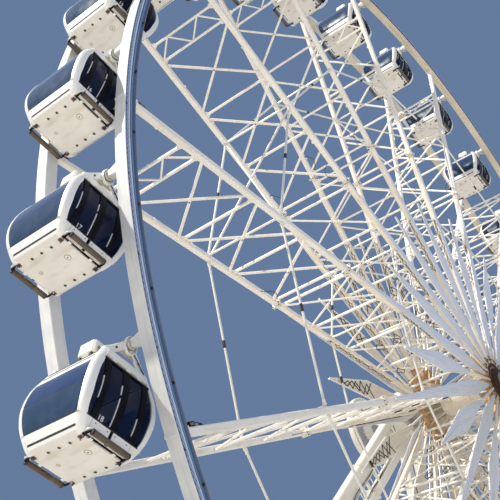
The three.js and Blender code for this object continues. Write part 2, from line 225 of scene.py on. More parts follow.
@dataclass(frozen=True)
class Paint:
    """Painted or bare metal with patches, streaks of grime and, where it is worn, rust."""

    colour: Colour
    shade: Colour
    grime: Colour = (0.23, 0.16, 0.1)
    grime_share: float = 0.35
    streak: Colour = (2.0, 2.0, 2.0)
    rust: Colour = (0.16, 0.065, 0.025)
    roughness: float = 0.42
    metallic: float = 0.0
    coat: float = 0.0
    grain: float = 60.0
    bump: float = 0.15
    gloss: float = 1.5
    flows: bool = True

    def build(self, name: str) -> Material:
        """Builds the material.

        Args:
            name: Its name.

        Returns:
            The material.
        """
        graph = Graph(name)
        place = graph.place(self.flows)
        colour = graph.blend(graph.spread(graph.noise(place, 1.7), (0.36, 0.64), (0, 1)), self.colour,
            self.shade)
        streaks = graph.noise(place, 2.3, 5.0, self.streak)
        colour = graph.blend(graph.spread(streaks, (0.52, 0.78), (0, self.grime_share)), colour, self.grime)
        wear = graph.node("ShaderNodeAttribute", attribute_name="wear").outputs["Fac"]
        eaten = graph.sum("ADD", wear, graph.spread(graph.noise(place, 11.0, 4.0), (0.3, 0.7), (-0.35, 0.35)))
        colour = graph.blend(graph.spread(eaten, (0.5, 0.72), (0, 0.9)), colour, self.rust)
        rough = graph.spread(streaks, (0.3, 0.75), (self.roughness - 0.06, self.roughness + 0.16))
        return graph.dress(colour, rough, graph.noise(place, self.grain, 2.0), (self.bump, 0.004),
            Metallic=self.metallic, IOR=self.gloss, Coat_Weight=self.coat, Coat_Roughness=0.12)


@dataclass(frozen=True)
class TintedGlass:
    """Dark glossy glass with wiped streaks of dust, a little see-through."""

    tint: Colour
    dust: Colour
    clear: float = 0.1
    gloss: float = 1.5
    coat: float = 0.3

    def build(self, name: str) -> Material:
        """Builds the material.

        Args:
            name: Its name.

        Returns:
            The material.
        """
        graph = Graph(name)
        place = graph.place(True)
        cloud = graph.noise(place, 2.1, 4.0)
        wipe = graph.noise(place, 3.0, 3.0, (5.0, 1.2, 1.0))
        colour = graph.blend(graph.spread(wipe, (0.45, 0.8), (0.0, 0.35)), self.tint, self.dust)
        return graph.dress(colour, graph.spread(cloud, (0.35, 0.7), (0.06, 0.2)), cloud, (0.05, 0.01),
            Alpha=1 - self.clear, IOR=self.gloss, Coat_Weight=self.coat)


@dataclass(frozen=True)
class RopeLight:
    """A clear hose with a twisted string of lamps in it, which shows as slanted dashes along the rim."""

    bright: Colour = (0.46, 0.55, 0.7)
    dark: Colour = (0.09, 0.14, 0.26)
    pitch: float = 0.13

    def build(self, name: str) -> Material:
        """Builds the material.

        Args:
            name: Its name.

        Returns:
            The material.
        """
        graph = Graph(name)
        place = graph.split(graph.place(True))
        along = graph.sum("ADD", place["X"], graph.sum("MULTIPLY", place["Z"], 3.0))
        wave = graph.wave(along, self.pitch)
        colour = graph.blend(graph.spread(wave, (-0.35, 0.35), (0, 1)), self.dark, self.bright)
        return graph.dress(colour, 0.25, wave, (0.4, 0.006), Coat_Weight=0.4)


@dataclass(frozen=True)
class RibbedSheet:
    """Sheet with lengthwise ribs, for the slim panels, with painted shade in the grooves between the ribs."""

    colour: Colour = (0.86, 0.88, 0.92)
    groove_shade: Colour = (0.66, 0.7, 0.78)
    grime: Colour = (0.52, 0.5, 0.48)
    pitch: float = 0.055

    def build(self, name: str) -> Material:
        """Builds the material.

        Args:
            name: Its name.

        Returns:
            The material.
        """
        graph = Graph(name)
        flow = graph.place(True)
        wave = graph.wave(graph.split(flow)["Z"], self.pitch)
        # The groove colour laid in the troughs of the ribs is painted shade.
        base = graph.blend(graph.spread(wave, (-0.95, -0.55), (1, 0)), self.colour, self.groove_shade)
        streaks = graph.noise(flow, 2.0, 4.0, (0.5, 4.0, 6.0))
        colour = graph.blend(graph.spread(streaks, (0.5, 0.8), (0, 0.4)), base, self.grime)
        return graph.dress(colour, graph.spread(streaks, (0.3, 0.7), (0.36, 0.56)), wave, (0.5, 0.01),
            Metallic=0.15)


@dataclass(frozen=True)
class TreadPlate:
    """Metal deck plate with raised lozenges."""

    colour: Colour = (0.36, 0.36, 0.35)
    worn: Colour = (0.52, 0.51, 0.48)
    pitch: float = 0.09

    def build(self, name: str) -> Material:
        """Builds the material.

        Args:
            name: Its name.

        Returns:
            The material.
        """
        graph = Graph(name)
        flow = graph.place(False)
        place = graph.split(flow)
        waves = [graph.wave(graph.sum("ADD", place["X"], graph.sum("MULTIPLY", place["Y"], sign)), self.pitch)
            for sign in (1.0, -1.0)]
        raised = graph.spread(graph.sum("MULTIPLY", *waves), (0.25, 0.6), (0, 1))
        patches = graph.noise(flow, 0.9, 4.0)
        share = graph.sum("MULTIPLY", raised, graph.spread(patches, (0.4, 0.65), (0.2, 1)))
        return graph.dress(graph.blend(share, self.colour, self.worn), graph.spread(patches, (0.3, 0.7),
            (0.4, 0.62)), raised, (0.6, 0.004), Metallic=0.5)


class Finish(Enum):
    """The finishes of the wheel's surfaces."""

    FRAME_CREAM = Paint((0.91, 0.87, 0.79), (0.87, 0.82, 0.73), grime=(0.45, 0.32, 0.19), grime_share=0.3,
        streak=(0.6, 3.0, 3.0))
    FRAME_WHITE = Paint((0.9, 0.88, 0.84), (0.85, 0.83, 0.78), grime=(0.42, 0.34, 0.25), grime_share=0.3,
        flows=False, streak=(3.0, 3.0, 0.6))
    FRAME_STAINED = Paint((0.91, 0.86, 0.77), (0.87, 0.77, 0.62), grime=(0.58, 0.32, 0.13), grime_share=0.55,
        streak=(0.5, 3.0, 3.0))
    ORANGE_RUST = Paint((0.55, 0.3, 0.12), (0.74, 0.55, 0.34), grime=(0.1, 0.045, 0.02), grime_share=0.8,
        streak=(3.0, 5.0, 5.0), roughness=0.7, bump=0.4)
    CREAM_SHEET = RibbedSheet((0.88, 0.83, 0.73), (0.7, 0.64, 0.54))
    RIM_WHITE = Paint((0.78, 0.77, 0.74), (0.66, 0.67, 0.68), grime=(0.3, 0.29, 0.28), streak=(0.3, 6.0, 6.0))
    RIM_CREAM = Paint((0.74, 0.66, 0.52), (0.66, 0.58, 0.44), grime_share=0.5, streak=(0.3, 6.0, 6.0))
    # The channel finishes' blues are partly painted shade on the rim's shaded side face.
    CHANNEL_NAVY = Paint((0.06, 0.12, 0.25), (0.08, 0.15, 0.3), grime_share=0.1, roughness=0.35)
    CHANNEL_STEEL = Paint((0.19, 0.29, 0.45), (0.14, 0.23, 0.38), grime_share=0.2, roughness=0.3)
    CHANNEL_SKY = Paint((0.62, 0.7, 0.84), (0.52, 0.61, 0.78), grime_share=0.2, roughness=0.35)
    CHANNEL_BROWN = Paint((0.2, 0.13, 0.09), (0.26, 0.17, 0.11), roughness=0.6)
    ROPE_LIGHT = RopeLight()
    CABIN_WHITE = Paint((0.83, 0.82, 0.79), (0.78, 0.77, 0.74), grime_share=0.18, streak=(3.0, 3.0, 0.7),
        roughness=0.22, coat=0.5, bump=0.03)
    # The cream tint of the cabin's floor and rounded lower edge is painted warm light bounced up from the
    # ground; its tan streaks are dirt.
    CABIN_FLOOR = Paint((0.77, 0.74, 0.67), (0.71, 0.67, 0.6), grime=(0.42, 0.31, 0.2), grime_share=0.5,
        streak=(2.2, 0.5, 1.0), roughness=0.38, bump=0.08)
    CABIN_LINING = Paint((0.34, 0.31, 0.29), (0.26, 0.24, 0.23), grime_share=0.2, roughness=0.6)
    # This grimy cream is also painted shade on the hangers' webs and bushes, the rim bearings and the rim
    # arms' edge strips.
    GRIMY_CREAM = Paint((0.5, 0.44, 0.33), (0.38, 0.33, 0.24), grime_share=0.5)
    COOLER_CREAM = Paint((0.85, 0.83, 0.75), (0.8, 0.77, 0.68), grime_share=0.2, roughness=0.35)
    SIDE_GLASS = TintedGlass((0.012, 0.035, 0.08), (0.05, 0.09, 0.16), clear=0.05)
    BROW_GLASS = TintedGlass((0.004, 0.022, 0.09), (0.015, 0.07, 0.19), clear=0.04)
    END_GLASS = TintedGlass((0.002, 0.008, 0.036), (0.006, 0.022, 0.08), clear=0.5, gloss=1.22, coat=0.0)
    BLACK_RUBBER = Paint((0.012, 0.012, 0.014), (0.02, 0.02, 0.022), grime_share=0.3, roughness=0.6, bump=0.1)
    BLACK_PAINT = Paint((0.004, 0.004, 0.007), (0.007, 0.008, 0.012), grime=(0.03, 0.03, 0.03), roughness=0.5,
        gloss=1.15)
    BUMPER_BROWN = Paint((0.085, 0.06, 0.034), (0.055, 0.038, 0.022), grime=(0.34, 0.26, 0.15),
        roughness=0.35, coat=0.3)
    RUSTY_IRON = Paint((0.1, 0.045, 0.022), (0.045, 0.025, 0.018), grime=(0.32, 0.15, 0.06), grime_share=0.7,
        roughness=0.7, metallic=0.3, bump=0.4)
    SEAT_BROWN = Paint((0.26, 0.1, 0.05), (0.2, 0.07, 0.035), grime_share=0.2, roughness=0.5)
    NUMBER_WHITE = Paint((0.8, 0.8, 0.8), (0.74, 0.74, 0.74), grime_share=0.1, flows=False)
    RIBBED_PANEL = RibbedSheet()
    STEEL_GREY = Paint((0.3, 0.3, 0.3), (0.22, 0.22, 0.23), flows=False, metallic=0.4)
    GALVANISED = Paint((0.45, 0.46, 0.48), (0.34, 0.35, 0.37), flows=False, metallic=0.7, roughness=0.4)
    DISC_LILAC = Paint((0.46, 0.44, 0.5), (0.38, 0.37, 0.43), flows=False, grime_share=0.4)
    BASE_GREY = Paint((0.44, 0.45, 0.45), (0.36, 0.37, 0.37), flows=False, grime_share=0.6,
        streak=(2.0, 2.0, 0.8))
    DECK_TREAD = TreadPlate()
    LAMP_AMBER = Paint((0.22, 0.17, 0.07), (0.14, 0.1, 0.04), roughness=0.2)


def material_of(finish: Finish) -> Material:
    """The material of a finish, made on its first use."""
    name = finish.name.lower()
    return bpy.data.materials.get(name) or finish.value.build(name)


def unit(vector: Point) -> np.ndarray:
    """A vector at length 1."""
    array = np.asarray(vector, float)
    return array / np.linalg.norm(array)


def oblong(width: float, height: float, chamfer: float) -> Outline:
    """A rectangle about the origin with cut corners.

    Args:
        width: Its first side.
        height: Its second side.
        chamfer: How much each corner is cut back.

    Returns:
        Its eight points, anticlockwise.
    """
    x, y = width / 2, height / 2
    c = min(chamfer, x * 0.9, y * 0.9)
    return [(x, -y + c), (x, y - c), (x - c, y), (-x + c, y), (-x, y - c), (-x, -y + c), (-x + c, -y),
        (x - c, -y)]


def circle(radius: float, sides: int) -> Outline:
    """The points of a circle about the origin, anticlockwise."""
    return [(radius * cos(a), radius * sin(a)) for a in np.linspace(0, 2 * pi, sides, endpoint=False)]


def inset(outline: Points, distance: float) -> Outline:
    """Moves a flat outline's sides inwards.

    Args:
        outline: Its points, anticlockwise.
        distance: How far the sides move.

    Returns:
        The new points.
    """
    points = [np.asarray(p, float) for p in outline]
    result = []
    for index, point in enumerate(points):
        before = unit(point - points[index - 1])
        after = unit(points[(index + 1) % len(points)] - point)
        first = np.array([-before[1], before[0]])
        middle = first + np.array([-after[1], after[0]])
        result.append(tuple(point + middle * distance / max(0.35, middle @ first)))
    return result


def smooth_path(points: Points, steps: int) -> np.ndarray:
    """A smooth line through points.

    Args:
        points: The points.
        steps: The stretches that each span is cut into.

    Returns:
        The line's points.
    """
    array = np.asarray(points, float)
    padded = np.vstack([2 * array[0] - array[1], array, 2 * array[-1] - array[-2]])
    line = [0.5 * (2 * b + (c - a) * t + (2 * a - 5 * b + 4 * c - d) * t * t + (3 * b - a - 3 * c
        + d) * t ** 3) for a, b, c, d in zip(padded, padded[1:], padded[2:], padded[3:])
        for t in np.linspace(0, 1, steps, endpoint=False)]
    return np.array([*line, array[-1]])


def ring_faces(count: int, rings: int, closed: bool) -> list[tuple[int, ...]]:
    """The faces that join rings of points.

    Args:
        count: The points of each ring.
        rings: How many rings there are.
        closed: Whether the last ring joins the first, and not a cap at each end.

    Returns:
        The faces.
    """
    faces = []
    for span in range(rings if closed else rings - 1):
        here, there = span * count, (span + 1) % rings * count
        for side in range(count):
            after = (side + 1) % count
            faces.append((here + side, here + after, there + after, there + side))
    if not closed:
        faces += [tuple(reversed(range(count))), tuple(range((rings - 1) * count, rings * count))]
    return faces


def shown(name: str, data: bpy.types.ID) -> Object:
    """Puts a mesh or a text in the scene.

    Args:
        name: The object's name.
        data: The mesh or the text.

    Returns:
        The object.
    """
    made = bpy.data.objects.new(name, data)
    bpy.context.scene.collection.objects.link(made)
    return made


def settle(piece: Object, body: str, slot: Slot, *nodes: str) -> None:
    """Gives a finished piece its body and hides the nodes that it stands for.

    Args:
        piece: The piece.
        body: The body that it moves with.
        slot: Not used.
        *nodes: The frame's nodes that it replaces.
    """
    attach(piece, body)
    if nodes:
        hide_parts(*nodes)
    log.info("%s: %d faces on %s", piece.name, len(piece.data.polygons), body)


def stand_in(node: str, template: Mesh, place: Matrix, body: str, slot: Slot) -> None:
    """Shows a copy of a template in place of a node.

    Args:
        node: The node.
        template: The template.
        place: Where the copy goes.
        body: Its body.
        slot: Its material slot.
    """
    mesh = template.copy()
    mesh.transform(place)
    settle(shown(f"{node}_dressed", mesh), body, slot, node)


def about_axle(angle: float) -> Matrix:
    """The place of a piece that is drawn along +X from the hub's centre."""
    return Matrix.Translation(AXLE_CENTRE) @ Matrix.Rotation(-radians(angle), 4, "Y")


@dataclass
class Shape:
    """Closed bodies gathered as points and faces. Wear, from 0 to 1, is how far rust eats a body's paint."""

    points: list[tuple[float, ...]] = field(default_factory=list)
    faces: list[tuple[int, ...]] = field(default_factory=list)
    finishes: list[Finish] = field(default_factory=list)
    wear: list[float] = field(default_factory=list)
    flow: list[tuple[float, ...]] = field(default_factory=list)

    def add(self, points: Points, faces: Sequence[tuple[int, ...]], finish: Finish | list[Finish],
            wear: float = 0.0, flow: Points | None = None) -> None:
        """Adds a closed body and turns its faces outwards.

        Args:
            points: Its points.
            faces: Its faces.
            finish: One finish, or one for each face.
            wear: Its wear.
            flow: Coordinates that the finishes follow, or None for the points themselves.
        """
        array = np.asarray(points, float)
        arms = array - array.mean(0)
        volume = 0.0
        for face in faces:
            for second, third in zip(face[1:], face[2:]):
                volume += arms[face[0]] @ np.cross(arms[second], arms[third])
        base = len(self.points)
        order = -1 if volume < 0 else 1
        self.points.extend(map(tuple, array))
        self.faces.extend(tuple(base + index for index in face[::order]) for face in faces)
        self.finishes.extend(finish if isinstance(finish, list) else [finish] * len(faces))
        self.wear.extend([wear] * len(array))
        self.flow.extend(map(tuple, array if flow is None else flow))

    def loft(self, rings: Sequence[Points], finish: Finish | list[Finish], wear: float = 0.0,
            closed: bool = False, flow: Points | None = None) -> None:
        """Adds a body through rings of points.

        Args:
            rings: The rings, each with as many points.
            finish: One finish, or one for each side of the rings.
            wear: Its wear.
            closed: Whether the last ring joins the first.
            flow: Coordinates that the finishes follow.
        """
        if isinstance(finish, list):
            finish = finish * len(rings) if closed else finish * (len(rings) - 1) + [finish[0]] * 2
        self.add([point for ring in rings for point in ring], ring_faces(len(rings[0]), len(rings), closed),
            finish, wear, flow)

    def swept(self, line: Points, section: Points, facing: Point, finish: Finish, wear: float = 0.0,
            tips: float = 0.0) -> None:
        """Sweeps a section along a line.

        Args:
            line: The line's points.
            section: The section's points, first across and then up.
            facing: The direction that up is kept near.
            finish: The finish.
            wear: Its wear.
            tips: How far the ends are chamfered.
        """
        array = [np.asarray(point, float) for point in line]
        flat = np.asarray(section, float)
        last = len(array) - 1
        rings = []
        for index, point in enumerate(array):
            after = array[min(index + 1, last)]
            along = unit(after - array[max(index - 1, 0)])
            across = unit(np.cross(facing, along))
            bend = 1 / max(0.5, unit(after - point) @ along) if 0 < index < last else 1.0
            rings.append(point + np.outer(flat[:, 0] * bend, across) + np.outer(flat[:, 1],
                np.cross(along, across)))
        if tips:
            for end, inner in ((0, 1), (-1, -2)):
                full = rings[end] + unit(array[inner] - array[end]) * tips
                rings[end] = array[end] + (rings[end] - array[end]) * (1 - tips / np.abs(flat).max())
                rings.insert(1 if end == 0 else len(rings) - 1, full)
        self.loft(rings, finish, wear)

    def cable(self, points: Points, steps: int, radius: float, sides: int, facing: Point,
            finish: Finish) -> None:
        """Sweeps a round section along a smooth line, its first side kept square to facing."""
        self.swept(smooth_path(points, steps), circle(radius, sides), facing, finish)

    def bar(self, start: Point, end: Point, width: float, height: float, facing: Point, finish: Finish,
            chamfer: float = 0.01, wear: float = 0.0, tips: bool = False) -> None:
        """Adds a straight box bar, its height kept near facing, with chamfered ends where tips is true."""
        self.swept([start, end], oblong(width, height, chamfer), facing, finish, wear, chamfer
            if tips else 0.0)

    def rod(self, start: Point, end: Point, radius: float, finish: Finish, sides: int = 12,
            tips: float = 0.0) -> None:
        """Adds a straight round rod.

        Args:
            start: The middle of one end.
            end: The middle of the other end.
            radius: Its radius.
            finish: The finish.
            sides: Its sides.
            tips: The chamfer of its ends.
        """
        along = unit(np.asarray(end, float) - np.asarray(start, float))
        facing = Z if abs(along[2]) < 0.9 else Y
        self.swept([start, end], circle(radius, sides), facing, finish, 0.0, tips)

    def block(self, low: Point, high: Point, finish: Finish, chamfer: float = 0.01,
            wear: float = 0.0) -> None:
        """Adds a chamfered box.

        Args:
            low: One corner.
            high: The opposite corner.
            finish: The finish.
            chamfer: The cut of its edges.
            wear: Its wear.
        """
        lo, hi = np.minimum(low, high), np.maximum(low, high)
        middle = (lo + hi) / 2
        size = hi - lo
        rise = np.array([0, 0, size[2] / 2])
        self.bar(middle - rise, middle + rise, size[0], size[1], Y, finish, min(chamfer, size[2] * 0.4), wear,
            True)

    def slab(self, outline: Points, origin: Point, across: Point, up: Point, low: float, high: float,
            finish: Finish, chamfer: float = 0.005, wear: float = 0.0) -> None:
        """Adds a flat plate with chamfered edges.

        Args:
            outline: Its outline's points, anticlockwise, as (across, up).
            origin: The outline's origin.
            across: The direction of the first number.
            up: The direction of the second number.
            low: Where the plate starts, along across x up.
            high: Where it ends.
            finish: The finish.
            chamfer: The cut of its edges.
            wear: Its wear.
        """
        first, second = unit(across), unit(up)
        depth = np.cross(first, second)
        small = inset(outline, chamfer)
        levels = ((small, low), (outline, low + chamfer), (outline, high - chamfer), (small, high))
        self.loft([[np.asarray(origin, float) + first * x + second * y + depth * level for x, y in flat]
            for flat, level in levels], finish, wear)

    def turned(self, profile: Points, centre: Point, finish: Finish | list[Finish], sides: int = 32) -> None:
        """Adds a round piece about a line along Y.

        Args:
            profile: Its radius and place along Y at each step.
            centre: A point on the line.
            finish: One finish, or one for each step between two profile points.
            sides: Its sides.
        """
        points = [(centre[0] + a, centre[1] + y, centre[2] + b) for radius, y in profile
            for a, b in circle(radius, sides)]
        if isinstance(finish, list):
            finish = [step for step in finish for _ in range(sides)] + [finish[0], finish[-1]]
        self.add(points, ring_faces(sides, len(profile), False), finish)

    def hoop(self, profile: Points, finish: Finish | list[Finish], sides: int, wear: float = 0.0) -> None:
        """Adds a ring about the axle.

        Args:
            profile: The section as (radius, y), a loop.
            finish: One finish, or one for each side of the section.
            sides: The ring's sides.
            wear: Its wear.
        """
        angles = [2 * pi * step / sides for step in range(sides)]
        rings = [[(r * cos(a), y, HUB_HEIGHT + r * sin(a)) for r, y in profile] for a in angles]
        flow = [(PIVOT_RADIUS * a, y, r) for a in angles for r, y in profile]
        self.loft(rings, finish, wear, closed=True, flow=flow)

    def join(self, other: "Shape", matrix: Matrix) -> None:
        """Adds another shape's bodies.

        Args:
            other: The other shape.
            matrix: Where it goes.
        """
        base = len(self.points)
        turn = np.array(matrix)
        array = np.asarray(other.points, float) @ turn[:3, :3].T + turn[:3, 3]
        self.points.extend(map(tuple, array))
        self.faces.extend(tuple(base + index for index in face) for face in other.faces)
        self.finishes.extend(other.finishes)
        self.wear.extend(other.wear)
        self.flow.extend(other.flow)

    def mesh(self, name: str) -> Mesh:
        """Makes the mesh with its materials.

        Args:
            name: The mesh's name.

        Returns:
            The mesh.
        """
        made = bpy.data.meshes.new(name)
        made.from_pydata(self.points, [], self.faces)
        used = sorted(set(self.finishes), key=lambda finish: finish.name.lower())
        for finish in used:
            made.materials.append(material_of(finish))
        made.polygons.foreach_set("material_index", [used.index(finish) for finish in self.finishes])
        made.polygons.foreach_set("use_smooth", [True] * len(self.finishes))
        made.attributes.new("wear", "FLOAT", "POINT").data.foreach_set("value", self.wear)
        flat = [value for point in self.flow for value in point]
        made.attributes.new("flow", "FLOAT_VECTOR", "POINT").data.foreach_set("vector", flat)
        made.set_sharp_from_angle(angle=SHARP_ANGLE)
        made.update()
        return made

    def settle(self, name: str, body: str, slot: Slot, *nodes: str) -> None:
        """Shows the shape as a piece of this name on a body, in place of the nodes."""
        settle(shown(name, self.mesh(name)), body, slot, *nodes)


class Pattern(Enum):
    """The Geometry Nodes trees that repeat or sweep a piece, with their inputs and the kinds of these."""

    ROUND_AXLE = {"Template": "Object", "Count": "Int", "First": "Float", "Step": "Float", "Centre": "Vector"}
    ALONG_LINE = {"Template": "Object", "Count": "Int", "Start": "Vector", "Offset": "Vector"}
    PIPES = {"Radius": "Float", "Sides": "Int"}

    def tree(self) -> NodeTree:
        """Builds the pattern's tree on its first use.

        Returns:
            The tree.
        """
        found = bpy.data.node_groups.get(self.name)
        if found:
            return found
        made = bpy.data.node_groups.new(self.name, "GeometryNodeTree")
        for name, kind in {"Geometry": "Geometry", **self.value, "Finish": "Material"}.items():
            made.interface.new_socket(name, in_out="INPUT", socket_type=f"NodeSocket{kind}")
        made.interface.new_socket("Geometry", in_out="OUTPUT", socket_type="NodeSocketGeometry")
        tree = Tree(made)
        given = tree.node("NodeGroupInput").outputs
        result = self.pipes(tree, given) if self is Pattern.PIPES else self.copies(tree, given)
        whole = tree.node("GeometryNodeRealizeInstances", {0: result}).outputs[0]
        dressed = tree.node("GeometryNodeSetMaterial", {"Geometry": whole, "Material": given["Finish"]})
        tree.node("NodeGroupOutput", {0: dressed.outputs[0]})
        return made

    def copies(self, tree: Tree, given: bpy.types.NodeOutputs) -> NodeSocket:
        """Adds the nodes that set copies of a template round the axle or along a line.

        Args:
            tree: The tree.
            given: Its inputs.

        Returns:
            The instances' output.
        """
        info = tree.node("GeometryNodeObjectInfo", {"Object": given["Template"]})
        index = tree.node("GeometryNodeInputIndex").outputs[0]
        inputs = {"Instance": info.outputs["Geometry"]}
        if self is Pattern.ROUND_AXLE:
            place = given["Centre"]
            turn = tree.sum("MULTIPLY_ADD", index, given["Step"], given["First"])
            angle = tree.sum("MULTIPLY", turn, -radians(1))
            inputs["Rotation"] = tree.node("ShaderNodeCombineXYZ", {"Y": angle}).outputs[0]
        else:
            moved = tree.node("ShaderNodeVectorMath", {0: given["Offset"], "Scale": index}, operation="SCALE")
            place = tree.node("ShaderNodeVectorMath", {0: moved.outputs[0], 1: given["Start"]}).outputs[0]
        inputs["Points"] = tree.node("GeometryNodePoints", {"Count": given["Count"],
            "Position": place}).outputs[0]
        return tree.node("GeometryNodeInstanceOnPoints", inputs).outputs[0]

    def pipes(self, tree: Tree, given: bpy.types.NodeOutputs) -> NodeSocket:
        """Adds the nodes that sweep a round section along the object's own edges.

        Args:
            tree: The tree.
            given: Its inputs.

        Returns:
            The pipes' output.
        """
        line = tree.node("GeometryNodeMeshToCurve", {0: given["Geometry"]})
        section = tree.node("GeometryNodeCurvePrimitiveCircle", {"Radius": given["Radius"],
            "Resolution": given["Sides"]})
        swept = tree.node("GeometryNodeCurveToMesh", {"Fill Caps": True, "Curve": line.outputs[0],
            "Profile Curve": section.outputs["Curve"]})
        return tree.node("GeometryNodeSetShadeSmooth", {"Geometry": swept.outputs[0]}).outputs[0]

    def grow(self, name: str, finish: Finish, body: str, slot: Slot, *nodes: str, source: Mesh | None = None,
            **values: object) -> None:
        """Runs the tree, keeps its result as a plain mesh and settles it.

        Args:
            name: The piece's name.
            finish: Its finish.
            body: Its body.
            slot: Its material slot.
            *nodes: The nodes that it replaces.
            source: The mesh that the tree starts from, where it needs one.
            **values: Values for the tree's named inputs, with a Shape as a template.
        """
        tree = self.tree()
        piece = shown(name, source or bpy.data.meshes.new(name))
        modifier = piece.modifiers.new(self.name, "NODES")
        modifier.node_group = tree
        keys = {item.name: item.identifier for item in tree.interface.items_tree if item.in_out == "INPUT"}
        templates = []
        for label, value in values.items():
            if isinstance(value, Shape):
                value = shown(name + "_template", value.mesh(name + "_template"))
                templates.append(value)
            modifier[keys[label]] = value
        modifier[keys["Finish"]] = material_of(finish)
        bpy.context.view_layer.update()
        graph = bpy.context.evaluated_depsgraph_get()
        result = bpy.data.meshes.new_from_object(piece.evaluated_get(graph), preserve_all_data_layers=True,
            depsgraph=graph)
        piece.modifiers.remove(modifier)
        piece.data = result
        result.name = name
        for template in templates:
            bpy.data.objects.remove(template)
        settle(piece, body, slot, *nodes)


def spun(name: str, shape: Shape, finish: Finish, count: int, first: float, *nodes: str, body: str = "wheel",
        slot: Slot = Slot.FRAME) -> None:
    """Sets copies of a shape, drawn along +X from the hub's centre, at even steps round the axle."""
    Pattern.ROUND_AXLE.grow(name, finish, body, slot, *nodes, Template=shape, Count=count, First=first,
        Step=360 / count, Centre=AXLE_CENTRE)


def lined(name: str, shape: Shape, finish: Finish, slot: Slot, count: int, start: Point,
        offset: Point) -> None:
    """Sets copies of a shape, drawn about the origin, along a line on the support, as one piece."""
    Pattern.ALONG_LINE.grow(name, finish, "support", slot, Template=shape, Count=count, Start=tuple(start),
        Offset=tuple(offset))


def piped(name: str, lines: Sequence[Points], radius: float, sides: int, finish: Finish, slot: Slot) -> None:
    """Sweeps a round section along lines on the support, as one piece.

    Args:
        name: The piece's name.
        lines: The lines' points.
        radius: The section's radius.
        sides: Its sides.
        finish: The finish.
        slot: The material slot.
    """
    points: list[tuple[float, ...]] = []
    edges: list[tuple[int, int]] = []
    for line in lines:
        base = len(points)
        points.extend(tuple(map(float, point)) for point in line)
        edges.extend((base + step, base + step + 1) for step in range(len(line) - 1))
    source = bpy.data.meshes.new(name)
    source.from_pydata(points, edges, [])
    Pattern.PIPES.grow(name, finish, "support", slot, source=source, Radius=radius, Sides=sides)


def kite(shape: Shape, stations: Points, low: float, edge: float, high: float) -> None:
    """Adds a slim ribbed panel along +X with a ridge on its outer face.

    Args:
        shape: The shape that it goes in.
        stations: Its radius and half width at each step.
        low: The place along Y of its back.
        edge: The place of its edges' front.
        high: The place of its ridge.
    """
    shape.loft([[(radius, low, -half), (radius, edge, -half), (radius, high, -half * 0.12),
        (radius, high, half * 0.12), (radius, edge, half), (radius, low, half)] for radius, half in stations],
        Finish.RIBBED_PANEL)


